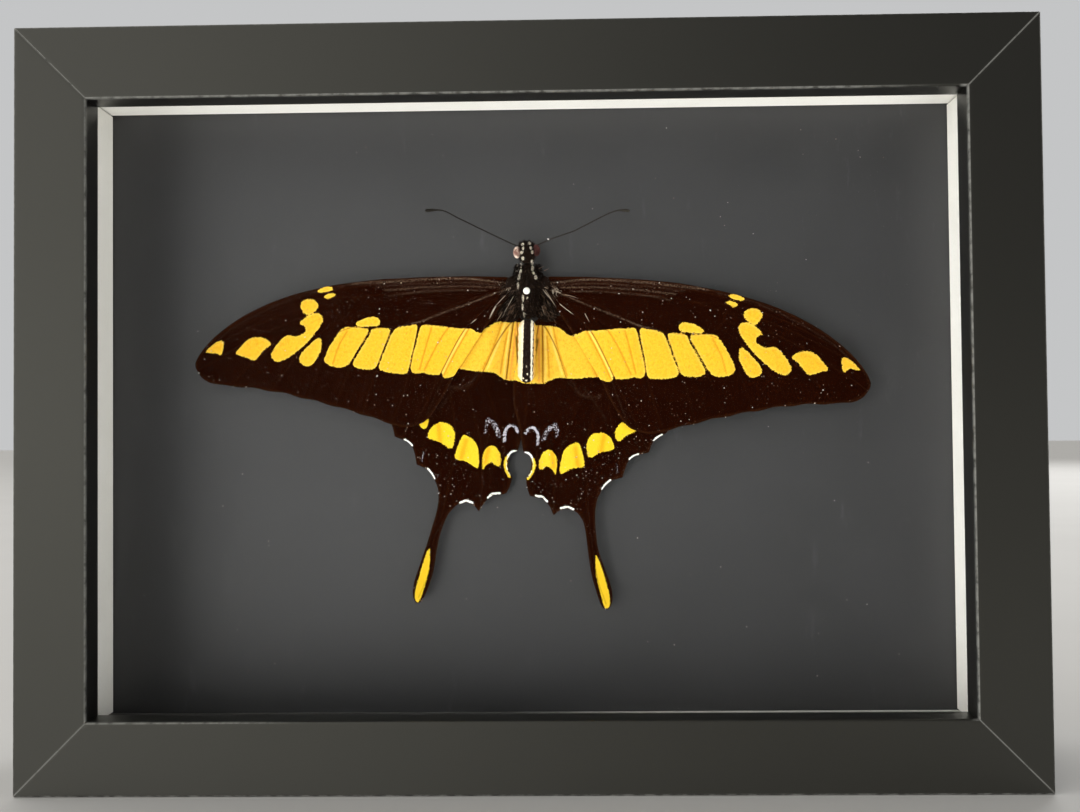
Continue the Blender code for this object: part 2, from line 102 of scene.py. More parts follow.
HIND_SPAN = [
    ((3.2, 19.6), (1.2, 17.9)), ((8, 18.8), (-1, 13)), ((14, 15), (-3, 7)), ((20, 9), (-3.3, 1)),
    ((23.5, 5), (-2.2, -4)), ((25.5, 2), (-1.3, -9.5, True), 0.2), ((27, -0.2), (0.1, -10.4), 0.5),
    ((28.4, -2.6), (0.4, -12), 0.6), ((29.2, -5.3), (0.1, -13.6), 0.8),
    ((27.4, -6.6), (-0.8, -15.2, True), 0.9), ((26.1, -7.7), (-0.6, -17), 1),
    ((25.2, -9.8, True), (0, -18.8, True), 1), ((23, -10.2), (1.1, -19.1), 1),
    ((21.2, -11.3), (2.7, -19.5), 1.1), ((20.3, -12.9), (4.1, -21), 1.2),
    ((19.6, -15, True), (4.95, -22.9, True), 1.2), ((18.4, -15.2), (5.7, -22.2), 0.9),
    ((17.2, -15.7), (6.6, -21.8), 0.6), ((16.2, -16.5), (7.5, -21.6), 0.4),
    ((15.4, -17.4), (8.4, -21.7), 0.3), ((14.75, -18.5), (9.3, -22), 0.2),
    ((14.2, -19.6), (10, -22.5), 0.1), ((13.9, -21.1), (10.75, -23.5)),
    ((13.75, -22.5), (11.3, -24.7)), ((13.8, -25.5), (11.75, -27)), ((14.3, -30), (12.2, -31)),
    ((15.55, -34), (12.85, -35.5)), ((16.9, -38), (13.95, -39.5)), ((17.2, -40.5), (14.6, -41.4)),
    ((16.85, -42), (15.15, -42.35)), ((16.25, -42.75), (15.65, -42.8)),
]

# Yellow marks of the forewing: the three outer blocks of the band, its inner part, and the spots.
FORE_GOLD = [
    [(34.1, 14.3), (36, 14.9), (39, 14.8), (40.6, 13.4), (42.3, 10.5), (43.4, 7.8), (43, 6.6),
     (41.5, 6), (39.5, 6), (38.1, 6.9), (36.4, 9.9)],
    [(29.4, 14.6), (31, 15.2), (33.2, 14.8), (34.1, 13), (36, 9.5), (37.2, 7.1), (36.6, 6.3),
     (35.5, 6), (33.5, 6), (32, 6.9), (30.9, 10)],
    [(23.5, 15.8), (25, 16.1), (27.5, 15.6), (28.8, 14.5), (30.2, 10.8), (31.5, 7), (30.6, 5.9),
     (28, 5.6), (25.6, 5.7), (25, 6.6), (24.5, 9.5)],
    [(8, 14.9), (9, 15.1), (10.4, 15.2), (12, 15.9), (14, 15.9), (17, 16.1), (20, 16.3),
     (22.4, 16.3), (23.1, 15), (23.7, 12), (24.5, 8.5), (24.5, 6.6), (23.6, 5.8), (22, 6),
     (20.5, 5.7), (18.4, 5.7), (17.9, 6.4), (17.5, 5.3), (16.6, 5.1), (15.2, 5.6), (14, 6.4),
     (11, 8)],
    [(31.7, 16.4), (32.4, 17.4), (34.5, 17.2), (36.3, 16.3), (37, 15.6), (36, 15.1), (34, 15.3),
     (32.3, 15.6)],
    [(42.3, 22.8), (43.3, 23.4), (44.5, 23), (45.6, 22.2), (45, 21.9), (43.5, 22.2)],
    [(41.7, 21.6), (42.5, 21.9), (43.8, 21.5), (44.2, 21), (43.3, 20.5), (42.5, 21)],
    [(45.4, 18.7), (46.3, 20.1), (48.3, 20.1), (49.3, 18.7), (48.3, 17.1), (46.9, 17)],
    [(44.2, 16.2), (45.2, 17.3), (47, 17), (48.5, 15.8), (49.2, 14.8), (48.2, 14.3), (47.9, 13.3),
     (48.6, 12.5), (50.2, 11.9), (51.8, 12.1), (53.3, 10.8), (54.8, 8.6), (55.2, 7.3), (54.2, 6.2),
     (53, 6.3), (51, 7.5), (48.5, 9.7), (46.5, 12), (44.8, 14.5)],
    [(44.3, 10.2), (44.4, 11.6), (45.2, 11.9), (46.8, 10.4), (48.6, 8.2), (49, 7), (48.3, 6),
     (46.9, 5.7), (45.6, 6.8), (44.6, 8.8)],
    [(55.3, 9.9), (56.8, 10.9), (58.5, 11.1), (60.5, 10.4), (62, 8.6), (62.9, 7.2), (61, 6.6),
     (59, 6.1), (58, 6.8), (56.8, 8.5)],
    [(65.8, 9.5), (66.9, 9.6), (68.2, 8.6), (69.5, 7.2), (68.7, 7), (67.5, 7.4), (66.4, 6.6),
     (65.9, 7.3)],
]
# What fills the left forewing's outermost mark out to a plain triangle
LEFT_GOLD = [[(66, 7), (67.5, 6.9), (68.8, 7), (67.6, 8.4), (66.2, 8.4)]]
# Yellow marks of the hindwing: the root end of the band, the row before the margin and the tail.
HIND_GOLD = [
    [(-2.6, 16.9), (0.5, 17.3), (2.5, 17.3), (5, 17), (6.2, 16.8), (7.2, 16.2), (8.4, 15.2),
     (10, 15), (14, 16.2), (20, 14), (22, 8), (18, 6), (14.3, 6.2), (10, 5.9), (6.2, 6.1),
     (4.6, 5.6), (3, 4.9), (1.5, 5), (-0.5, 5), (-2.6, 5.6), (-4.6, 7.2), (-4.6, 14)],
    [(18.2, -6.6), (18.3, -5), (19.7, -3.5), (21.2, -4.5), (22.5, -5.3), (20.6, -6.2), (19, -7.4)],
    [(12.1, -9.2), (12.3, -7.4), (13.3, -6), (15.3, -5.6), (17, -6.6), (17.8, -8.2), (17.6, -9.2),
     (15, -9.8), (12.7, -10.8)],
    [(6.5, -14.1), (6.5, -12.2), (7.3, -9.4), (8.8, -8.1), (10.3, -7.7), (11.1, -9.6),
     (11.6, -12.2), (11, -12.9), (9, -13.1), (7.4, -13.9)],
    [(2, -13), (2.1, -11.3), (3, -9.7), (4.1, -9.1), (5.2, -9.8), (5.8, -11.5), (5.5, -14.2),
     (4.8, -13.3), (3.7, -12.6), (2.7, -13.2)],
    [(13.8, -31.6), (13.7, -33), (13.85, -35.5), (14.7, -39.3), (15.45, -42.1), (16.05, -42.5),
     (16.6, -41.8), (16.6, -40), (15.9, -37), (14.85, -33.6), (14.1, -31.8)],
    [(0.35, -10.6), (1.05, -11.1), (1.3, -12.5), (0.9, -13.9), (-0.1, -15.3), (-0.55, -15.1),
     (0.3, -13.6), (0.6, -12.3)],
]
# White crescents on the hindwing's margin, and the hook at the notch: a middle line and a width.
HIND_CHALK = [
    ([(28, -6.2), (27.1, -6.6), (26.3, -7.3)], 0.42),
    ([(22.9, -10.2), (21.9, -10.6), (21.1, -11.2)], 0.42),
    ([(17, -15.6), (16, -16.5), (15.3, -17.4)], 0.42),
    ([(9.1, -21.7), (8, -21.2), (6.6, -21.4)], 0.42),
    ([(3.6, -20), (2.7, -19.1), (1.3, -18.8)], 0.42),
    ([(-1.25, -9.75), (-0.2, -9.9), (0.5, -10.7)], 0.52),
    ([(0.5, -10.7), (0.78, -12.3), (0.4, -13.7), (-0.4, -14.9)], 0.20),
]
# Bluish grey-white marks before the notch; the second one is broken up into single scales.
HIND_FROST = [
    ([(-0.8, -5.6), (-0.2, -4.7), (0.7, -4.4), (1.5, -5), (1.85, -6.2), (1.7, -7.9)], 0.50, 0.60),
    ([(3, -6.8), (3.8, -5.3), (4.6, -4.4), (5.6, -4)], 0.80, 0.50),
    ([(5, -4.2), (5.9, -5), (5.8, -6.4)], 0.66, 0.46),
    ([(18.4, -12.3), (18.5, -14.2)], 0.25, 0.5),
]

FORE_VEINS = [
    [(3.4, 25.5), (10, 26.2), (20, 25.9), (30, 24.9), (38, 23.6), (47, 21.2)],
    [(3.4, 25.3), (12, 24.9), (24, 23.6), (34, 22), (41, 19.8)],
    [(34, 22), (44, 20.6), (54, 17.6), (64, 12.2)],
    [(41, 19.8), (50, 17.6), (60, 13.2), (68.4, 8.4)],
    [(41, 19.8), (45, 17.9), (50, 15.6), (58, 11.6), (65.4, 6.8), (70.8, 3)],
    [(41.4, 18), (48.5, 14), (55.3, 8.9), (61, 3.8), (64, 0.2)],
    [(40.2, 16.4), (44.4, 13.2), (49.4, 8.2), (53, 3), (55, -0.3)],
    [(37.6, 15), (42, 12.6), (44, 8), (46, 2), (47, -1.4)],
    [(33.7, 14.9), (35.6, 11.2), (37.6, 7), (39.6, 1.5), (41, -2.4)],
    [(29, 15.5), (30.5, 11), (31.8, 7), (33.6, 1.5), (34.8, -3.8)],
    [(23, 17.2), (24, 11.6), (24.9, 6), (26.5, 0), (28.3, -5.2)],
    [(3.6, 24.6), (8.5, 21), (13.5, 15.3), (17.7, 6.7), (20.8, 0), (23.2, -5.2)],
    [(3.4, 24.9), (8, 23.8), (15, 21.2), (23, 17.2), (29, 15.5), (33.7, 14.9), (37.6, 15),
     (40.2, 16.4), (41.4, 18), (41, 19.8)],
]
FORE_CREASES = [
    [(15, 18), (16.9, 15.8), (19, 12.3), (21.6, 6.6)],
    [(11, 18.2), (12.6, 15.4), (15, 10.8), (17.4, 5.6)],
    [(38.8, 14), (40.5, 10.5), (41.6, 6.6)],
    [(20.4, 15.9), (21.4, 12), (22.6, 6.8)],
]
HIND_VEINS = [
    [(3.4, 19), (10, 15.5), (15.5, 10), (17, 7), (16.5, 3.6), (14.6, 2), (10.9, 2.1),
     (8.2, 5.5), (6.2, 11.5), (4.4, 15.5), (2.6, 18.2)],
    [(14, 12), (20, 6), (25.5, -1), (28.8, -5)],
    [(17, 7), (20.5, 1), (23, -5), (25, -9.4)],
    [(16.5, 3.6), (17.2, -2), (18, -7), (18.8, -12), (19.4, -14.6)],
    [(14.6, 2), (13, -4), (11.8, -9), (12, -16), (12.5, -25), (14, -36), (15.8, -41.6)],
    [(10.9, 2.1), (8, -5), (6.1, -11), (5.2, -18), (4.95, -22.3)],
    [(8.2, 5.5), (4.6, -2), (1.7, -9), (1.2, -14), (0.4, -18.4)],
    [(2.2, 17.5), (0.9, 10), (-0.4, 2), (-0.9, -5), (-0.9, -9)],
]
HIND_CREASES = [
    [(2.95, 17.8), (3, 12), (2.95, 5)],
    [(5.2, 17.2), (6.2, 12.4), (8.1, 6.5)],
    [(9, 17.5), (11.6, 13), (14.6, 6)],
    [(3.9, 15), (4.2, 10), (4.3, 6)],
]
# Painted shadow in the gap beside the abdomen, and orange streaks in the row of marks
HIND_GAP = [[(1.95, 14.3), (1.79, 13.3), (1.25, 10.35), (0.83, 8), (0.55, 6.4)]]
HIND_STREAKS = [
    [(15.8, -6.3), (15.1, -9.4)], [(9.7, -8.8), (10.2, -12.4)], [(4.8, -9.9), (5.1, -12.8)],
]
# Painted highlights on the pleats beside the creases, which also stand a little proud
FORE_GLEAMS = [[(12.3, 17), (14.2, 13.4), (16.6, 8.6), (17.9, 5.4)]]
HIND_GLEAMS = [[(4.6, 16.8), (5.5, 12.4), (7.1, 6.7)], [(3.45, 16.8), (3.55, 12), (3.5, 5.6)]]
# Rays of pale scales over the dark root half: a line, its width and its strength.
FORE_RAYS = [
    ([(4.5, 26.1), (9, 26.5), (14, 26.75), (24, 26.1), (34, 24.9), (38, 24.3)], 0.20, 0.75),
    ([(6, 25.6), (14, 25.9), (24, 25.2), (33, 24.1)], 0.16, 0.30),
    ([(7, 25.1), (14, 25.1), (24, 24.4), (31, 23.4)], 0.18, 0.50),
    ([(9, 24.3), (15, 24.2), (24, 23.4), (30, 22.3)], 0.16, 0.34),
    ([(4.5, 24.7), (7.3, 23.7), (10.8, 22.1), (18.9, 18.8), (23, 17), (27.5, 15.7)], 0.15, 0.62),
    ([(40, 23.6), (48, 21.3), (56, 17.6), (64, 12.6), (69, 7.6)], 0.16, 0.14),
    ([(17.6, 5), (19, 1), (20.6, -3)], 0.12, 0.12),
]
HIND_RAYS = [
    ([(9, 5.4), (10.9, 2.6), (13, 2), (15.2, 2.2)], 0.20, 0.16),
    ([(11.6, 4), (14.4, 0), (16.2, -3)], 0.16, 0.10),
]

# How the left wings differ: degrees that they are swung forward about the root, and their scale.
# Beyond its hinge the forewing also rises and shortens by so much for each millimetre. The
# hindwing's outer side is narrower, and its tail is longer and bows outwards about one height.
FORE_LEFT = {"swing": 2.9, "scale": 0.977, "hinge": 27, "rise": 0.036, "shorter": 0.008}
HIND_LEFT = {
    "swing": 7.6, "scale": 1.010, "lift": 0.75, "side": 20, "narrower": 0.06, "tail_from": -20,
    "tail_longer": 0.045, "bow": (0.8, -28.5, 5.5),
}

# ---------------------------------------------------------------------------------------------
# Body drawings
# ---------------------------------------------------------------------------------------------
# Thorax and head: the foot and the top of the axis, its depth behind the front, the greatest
# half-width, how sharp the ends are, and the half-depth for each millimetre of half-width. The coat
# is a rounder skin just inside, that the hairs grow from: its middle and its half-width.
THORAX = {
    "foot": (-0.10, 18.6), "top": (0.05, 30.4), "depth": 20.2, "half": 2.5, "ends": 0.85,
    "flat": 1.10, "coat_middle": -0.05, "coat_half": 2.42,
}
HEAD = {
    "foot": (-0.08, 30.2), "top": (-0.15, 34.9), "depth": 19.2, "half": 1.75, "ends": 0.55,
    "flat": 0.85, "coat_middle": -0.12, "coat_half": 1.70,
}
ABDOMEN = {"foot": (-0.45, 5.0), "top": (-0.12, 18.3), "depth": 18.7, "half": 1.86, "flat": 0.95}
# Cream spots on the head and thorax, as (x, up, half-width, half-height)
CREAM_SPOTS = [
    (-0.99, 34.1, 0.34, 0.36), (0.52, 34.3, 0.32, 0.36), (-0.85, 33.2, 0.20, 0.36),
    (0.74, 33.3, 0.20, 0.34), (-1.18, 32.35, 0.30, 0.34), (1.04, 32.4, 0.26, 0.34),
    (-0.99, 31.1, 0.32, 0.38), (-1.40, 29.9, 0.29, 0.66), (-1.48, 28.5, 0.29, 0.58),
    (0.95, 30.4, 0.24, 0.46), (1.07, 29.1, 0.26, 0.66), (-1.80, 27.3, 0.30, 0.62),
    (-2.05, 25.4, 0.28, 0.74), (1.26, 28, 0.32, 0.30), (1.76, 27.15, 0.34, 0.46),
    (-2.20, 28.9, 0.40, 0.36), (-2.20, 30, 0.20, 0.30), (-1.00, 22.7, 0.20, 0.70),
    (-1.10, 20.9, 0.20, 0.66), (-0.80, 19.3, 0.24, 0.50), (-0.07, 22.75, 0.17, 0.22),
]
TIP_DOTS = [
    (-0.33, 8.3, 0.16, 0.18), (-0.20, 6.7, 0.18, 0.18), (-1.10, 5.9, 0.18, 0.18),
    (0.48, 6.2, 0.18, 0.20), (-0.47, 5.45, 0.20, 0.16),
]
# Long pale bristles over the wing roots: where each group starts and ends, and how many it has
STRANDS = [
    ((3.1, 24.8), (5.6, 21.7), 2), ((3.7, 24.7), (6.3, 20.5), 2), ((6.5, 21.7), (9.95, 19), 2),
    ((11.9, 19.6), (13, 17.5), 1), ((7.4, 23.6), (10.6, 22.6), 1), ((-4.6, 23.6), (-6.9, 21.2), 2),
    ((-6.6, 21.6), (-8.1, 18.5), 2), ((-2.9, 23.6), (-5.2, 19.7), 1),
    ((-10.9, 18.55), (-12.3, 17.3), 1),
    ((3, 21.2), (3.7, 19), 1), ((-5.4, 20.3), (-6.9, 17.9), 1), ((2.3, 29), (3.8, 29.7), 1),
    ((3.4, 28.6), (4.6, 29.2), 1), ((1, 24.6), (1.6, 22.8), 1),
]
# Tufts: middle, half-spread, the way they run, shortest and longest hair, how many, and their tone
TUFTS = [
    ((5.6, 24.6), (0.6, 0.5), (0.45, -0.60), (0.4, 1.3), 22, (0.5, 0.85)),
    ((4.6, 25), (1.2, 0.3), (0.80, -0.30), (0.4, 0.9), 10, (0.4, 0.7)),
    ((3.2, 20.6), (0.5, 0.8), (0.35, -0.90), (0.5, 1.3), 16, (0.3, 0.55)),
    ((-3.9, 25.1), (0.5, 0.2), (-0.60, -0.60), (0.3, 0.8), 12, (0.5, 0.8)),
    ((-3.5, 20.9), (0.7, 0.8), (-0.35, -0.90), (0.5, 1.3), 18, (0.3, 0.55)),
    ((0.5, 24), (0.8, 1.2), (0.30, -0.90), (0.4, 1), 12, (0.3, 0.5)),
]

# The largest white specks, as (x, up, behind the front, half-length)
SPECKS = [(-32, 6.8, 19.6, 0.26), (38.3, 19.9, 19.6, 0.24), (4.4, 35.2, 18.9, 0.30)]
# Where the pin goes in
PIN = (-0.15, 24.0)
ANTENNAE = {
    "left": [
        (-1.2, 33.5), (-2.3, 33.95), (-5.3, 35.4), (-9.7, 37.6), (-14.6, 40.1), (-18, 41.8),
        (-21.7, 41.9),
    ],
    "right": [
        (1.3, 33.6), (2.4, 34.2), (5.2, 35.4), (9.5, 36.9), (11.8, 38), (18.2, 41.1), (21.7, 41.3),
    ],
}

# ---------------------------------------------------------------------------------------------
# Light and camera
# ---------------------------------------------------------------------------------------------
# Brightness of the surround's light at directions from full left (-1) to full right (1)
SURROUND = [
    (-1, 1.5), (-0.7, 1.4), (-0.25, 1.2), (0.12, 0.28), (0.32, 0.06), (0.65, 0.12), (0.85, 0.7),
    (1, 1.2),
]
# The same from straight down (-1) to straight up (1)
SURROUND_RISE = [
    (-1, 1), (-0.65, 0.7), (-0.45, 0.32), (-0.25, 0.32), (0.1, 0.85), (0.4, 1), (1, 1),
]

# The key lamp, and low-angle fills that whiten the strips inside the frame without adding sheen to
# the black: a name, a place and a share of the key's power. All aim this high over the foot.
KEY_PLACE = (-0.76, -0.99, -0.52)
FILLS = (
    ("left_fill", (-1.1, -0.45, 0.03), 0.42), ("right_fill", (1.15, -0.45, 0.03), 0.30),
    ("low_fill", (0.1, -0.48, -1.0), 0.64),
)
AIM_HEIGHT = 0.075

# The camera looks square at the frame's front from close by, turned a little about its own axis.
CAMERA_PLACE = (0.00693, -0.23564, 0.06977)
CAMERA_AHEAD = (-0.0195, 0.9996, 0.0228)
CAMERA_RIGHT = (0.9998, 0.0197, -0.0091)
CAMERA_LENS = 37.28

# ---------------------------------------------------------------------------------------------
# Places and lines
# ---------------------------------------------------------------------------------------------


def place(x, up, depth):
    """World points of drawing points: x and up in millimetres, depth in metres behind the front."""
    x, up, depth = np.broadcast_arrays(x, up, depth)
    return np.stack([x * MM, FRONT + depth, MIDDLE_HEIGHT + up * MM], axis=-1)


def smooth_line(points, corners=(), steps=6, closed=False):
    """Catmull-Rom line: between two points it is the cubic whose slope at each point is half the
    step from the point before it to the point after it. At a corner each side keeps its own slope.
    """
    points = np.array(points, float)
    corner = np.zeros((len(points), 1), bool)
    corner[list(corners)] = True
    if closed:
        before, after = np.roll(points, 1, axis=0), np.roll(points, -1, axis=0)
    else:
        before = np.vstack([2 * points[:1] - points[1:2], points[:-1]])
        after = np.vstack([points[1:], 2 * points[-1:] - points[-2:-1]])
    leaving = np.where(corner, after - points, (after - before) / 2)
    reaching = np.where(corner, points - before, (after - before) / 2)
    start, stop, slope, slope_next = points, after, leaving, np.roll(reaching, -1, axis=0)
    if not closed:
        start, stop, slope, slope_next = start[:-1], stop[:-1], slope[:-1], slope_next[:-1]
    t = (np.arange(steps) / steps)[None, :, None]
    line = (
        start[:, None] * (2 * t**3 - 3 * t**2 + 1) + stop[:, None] * (3 * t**2 - 2 * t**3)
        + slope[:, None] * (t**3 - 2 * t**2 + t) + slope_next[:, None] * (t**3 - t**2)
    ).reshape(-1, points.shape[1])
    return line if closed else np.vstack([line, points[-1:]])


def line_distance(places, line, closed=False):
    """Distance of each place to a line: the least over its segments of the distance to the foot
    of the perpendicular, held between the segment's ends."""
    start = line if closed else line[:-1]
    step = (np.roll(line, -1, axis=0) if closed else line[1:]) - start
    best = np.full(len(places), 1e9)
    for low in range(0, len(places), 8000):
        offset = places[low:low + 8000, None] - start
        share = (offset * step).sum(-1) / np.maximum((step * step).sum(-1), 1e-12)
        foot = offset - np.clip(share, 0, 1)[..., None] * step
        best[low:low + 8000] = np.sqrt((foot * foot).sum(-1).min(axis=1))
    return best


def inside_depth(places, outline):
    """Distance to a closed outline, positive inside: the sign is from how many of its segments a
    ray to the right crosses."""
    x, up = places[:, :1], places[:, 1:]
    x0, up0 = outline[:, 0], outline[:, 1]
    x1, up1 = np.roll(outline, -1, axis=0).T
    spans = (up0 > up) != (up1 > up)
    rise = np.where(up1 == up0, 1e-12, up1 - up0)
    crossed = spans & (x < (x1 - x0) * (up - up0) / rise + x0)
    inside = crossed.sum(axis=1) % 2 == 1
    return np.where(inside, 1, -1) * line_distance(places, outline, closed=True)


def grid_faces(rows, columns, round_rows=False, round_columns=False):
    """Quads of a grid of points, numbered along each row. A round direction joins its last line
    of points to its first."""
    i = np.arange(rows if round_rows else rows - 1)[:, None]
    j = np.arange(columns if round_columns else columns - 1)[None, :]
    i_next, j_next = (i + 1) % rows, (j + 1) % columns
    quads = np.stack(np.broadcast_arrays(
        i * columns + j, i * columns + j_next, i_next * columns + j_next, i_next * columns + j), -1)
    return quads.reshape(-1, 4)


def new_piece(name, points, faces, finish, replaced=(), values=None, smooth=True):
    """A mesh piece that rides on the frame. faces is a list of face arrays, and values are named
    numbers at its points, which its finish reads."""
    points = np.ascontiguousarray(points, np.float32).reshape(-1, 3)
    corners = np.concatenate([np.asarray(part, np.int32).ravel() for part in faces])
    sizes = np.concatenate([np.full(len(part), np.shape(part)[1], np.int32) for part in faces])
    mesh = bpy.data.meshes.new(name)
    mesh.vertices.add(len(points))
    mesh.vertices.foreach_set("co", points.ravel())
    mesh.loops.add(len(corners))
    mesh.loops.foreach_set("vertex_index", corners)
    mesh.polygons.add(len(sizes))
    starts = np.concatenate([[0], np.cumsum(sizes)[:-1]])
    mesh.polygons.foreach_set("loop_start", starts.astype(np.int32))
    mesh.update(calc_edges=True)
    mesh.polygons.foreach_set("use_smooth", np.full(len(sizes), smooth))
    for value_name, numbers in (values or {}).items():
        attribute = mesh.attributes.new(value_name, "FLOAT", "POINT")
        attribute.data.foreach_set("value", np.asarray(numbers, np.float32).ravel())
    mesh.validate()
    mesh.materials.append(finish)
    piece = bpy.data.objects.new(name, mesh)
    bpy.context.scene.collection.objects.link(piece)
    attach(piece, "root")
    if replaced:
        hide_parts(*replaced)
    return piece


def rings_piece(rings):
    """Points and faces of a closed skin through rings of points (count, sides, 3), with a pole at
    the middle of the first and of the last ring."""
    count, sides = rings.shape[:2]
    points = np.vstack([rings.reshape(-1, 3), rings[0].mean(axis=0), rings[-1].mean(axis=0)])
    side = np.arange(sides)
    following = (side + 1) % sides
    last = (count - 1) * sides
    first_cap = np.stack([following, side, np.full(sides, count * sides)], -1)
    last_cap = np.stack([last + side, last + following, np.full(sides, count * sides + 1)], -1)
    return points, [grid_faces(count, sides, round_columns=True), first_cap, last_cap]


def tube_rings(line, radii, sides):
    """Rings round a line: at each of its points a circle of that radius, square to the line."""
    ahead = np.gradient(line, axis=0)
    ahead /= np.linalg.norm(ahead, axis=1, keepdims=True)
    across = np.cross(ahead, [0.0, 1.0, 0.0])
    across /= np.linalg.norm(across, axis=1, keepdims=True)
    other = np.cross(ahead, across)
    angle = np.arange(sides) * 2 * pi / sides
    turned = across[:, None] * np.cos(angle)[:, None] + other[:, None] * np.sin(angle)[:, None]
    return line[:, None] + turned * np.asarray(radii)[:, None, None]


def hair_mesh(roots, tips, bend, radius, joints=4, sides=3):
    """Hairs: each is a small circle carried along root + (tip - root) s + bend 4 s (1 - s), while
    its radius falls as 1 - s squared. Returns points, faces and each point's share s."""
    share = np.arange(joints) / joints
    line = (
        roots[:, None] + (tips - roots)[:, None] * share[:, None]
        + bend[:, None] * (4 * share * (1 - share))[:, None]
    )
    ahead = (tips - roots) / np.linalg.norm(tips - roots, axis=1, keepdims=True)
    across = np.cross(ahead, [0.31, 0.87, 0.39])
    across /= np.linalg.norm(across, axis=1, keepdims=True)
    other = np.cross(ahead, across)
    angle = np.arange(sides) * 2 * pi / sides
    circle = across[:, None] * np.cos(angle)[:, None] + other[:, None] * np.sin(angle)[:, None]
    sizes = np.asarray(radius)[:, None] * (1 - share**2)
    rings = line[:, :, None] + circle[:, None] * sizes[:, :, None, None]
    count = len(roots)
    per_hair = joints * sides + 1
    points = np.concatenate([rings.reshape(count, -1, 3), tips[:, None]], axis=1).reshape(-1, 3)
    side = np.arange(sides)
    following = (side + 1) % sides
    body = grid_faces(joints, sides, round_columns=True)
    last = (joints - 1) * sides
    tip = np.stack([last + side, last + following, np.full(sides, joints * sides)], -1)
    base = side[::-1][None]
    starts = (np.arange(count) * per_hair)[:, None, None]
    faces = [(part[None] + starts).reshape(-1, part.shape[1]) for part in (body, tip, base)]
    shares = np.tile(np.concatenate([np.repeat(share, sides), [1.0]]), count)
    return points, faces, shares


# ---------------------------------------------------------------------------------------------
# Finishes
# ---------------------------------------------------------------------------------------------


def tint(red, green, blue):
    """A display colour from 0 to 255 as the linear colour that a shader takes."""
    share = np.array([red, green, blue], float) / 255
    linear = np.where(share <= 0.04045, share / 12.92, ((share + 0.055) / 1.055) ** 2.4)
    return (*(float(part) for part in linear), 1.0)


def opaque(colour):
    """A colour setting with an alpha of 1."""
    return (*colour, 1.0)


class Finish:
    """A material's nodes, added one at a time. Its patterns are measured in millimetres."""

    def __init__(self, name):
        self.material = bpy.data.materials.new(name)
        self.material.use_nodes = True
        self.tree = self.material.node_tree
        self.shader = self.tree.nodes["Principled BSDF"]

    def put(self, socket, value):
        """Joins a node's output to a socket, or sets the socket to a plain value."""
        if isinstance(value, bpy.types.NodeSocket):
            self.tree.links.new(value, socket)
        else:
            socket.default_value = value

    def node(self, kind, settings=None, **values):
        node = self.tree.nodes.new(kind)
        for key, value in (settings or {}).items():
            setattr(node, key, value)
        for key, value in values.items():
            self.put(node.inputs[key], value)
        return node

    def millimetres(self, stretch=(1, 1, 1), turn=(0, 0, 0)):
        """Object coordinates in millimetres, stretched to make long-grained patterns."""
        places = self.node("ShaderNodeTexCoord").outputs["Object"]
        scale = tuple(1000 * part for part in stretch)
        return self.node(
            "ShaderNodeMapping", Vector=places, Scale=scale, Rotation=turn
        ).outputs["Vector"]

    def noise(self, at, per_mm, detail=3.0, rough=0.5):
        return self.node(
            "ShaderNodeTexNoise", Vector=at, Scale=per_mm, Detail=detail, Roughness=rough,
        ).outputs["Fac"]

    def cells(self, at, per_mm, loose=1.0):
        """Distance to the nearest cell's middle, and a random colour for each cell."""
        node = self.node("ShaderNodeTexVoronoi", Vector=at, Scale=per_mm, Randomness=loose)
        return node.outputs["Distance"], node.outputs["Color"]

    def value(self, name):
        return self.node("ShaderNodeAttribute", {"attribute_name": name}).outputs["Fac"]

    def sum(self, operation, a, b=0.0, hold=False):
        node = self.node("ShaderNodeMath", {"operation": operation, "use_clamp": hold})
        self.put(node.inputs[0], a)
        self.put(node.inputs[1], b)
        return node.outputs[0]

    def times(self, a, b):
        return self.sum("MULTIPLY", a, b)

    def plus(self, a, b, hold=False):
        return self.sum("ADD", a, b, hold)

    def less(self, a, b):
        return self.sum("SUBTRACT", a, b)

    def size(self, a):
        return self.sum("ABSOLUTE", a)

    def most(self, a, b):
        return self.sum("MAXIMUM", a, b)

    def below(self, value, low, high):
        """1 below low, 0 above high, and a smooth step between them."""
        return self.between(value, low, high, 1.0, 0.0)

    def parts(self, at):
        """The three coordinates of a place."""
        node = self.node("ShaderNodeSeparateXYZ", Vector=at)
        return node.outputs["X"], node.outputs["Y"], node.outputs["Z"]

    def between(self, value, low, high, first=0.0, last=1.0):
        """first below low, last above high, and a smooth step between them."""
        node = self.node("ShaderNodeMapRange", {"interpolation_type": "SMOOTHSTEP"})
        for index, number in enumerate((value, low, high, first, last)):
            self.put(node.inputs[index], number)
        return node.outputs["Result"]

    def blend(self, share, a, b):
        node = self.node("ShaderNodeMix", {"data_type": "RGBA"})
        for index, value in ((0, share), (6, a), (7, b)):
            self.put(node.inputs[index], value)
        return node.outputs[2]

    def layers(self, colour, *layers):
        """A colour with others laid over it in turn. Each is (where it lies, strength, colour)."""
        for where, strength, over in layers:
            share = where if strength == 1 else self.times(where, strength)
            colour = self.blend(share, colour, over)
        return colour

    def bump(self, height, millimetres):
        """A bump whose height of 1 stands this many millimetres proud."""
        node = self.node("ShaderNodeBump", Height=height, Strength=1.0, Distance=millimetres * MM)
        self.put(self.shader.inputs["Normal"], node.outputs["Normal"])

    def surface(self, **values):
        """Sets the shader's sockets, with _ for a space in a socket's name."""
        for key, value in values.items():
            self.put(self.shader.inputs[key.replace("_", " ")], value)
        return self.material


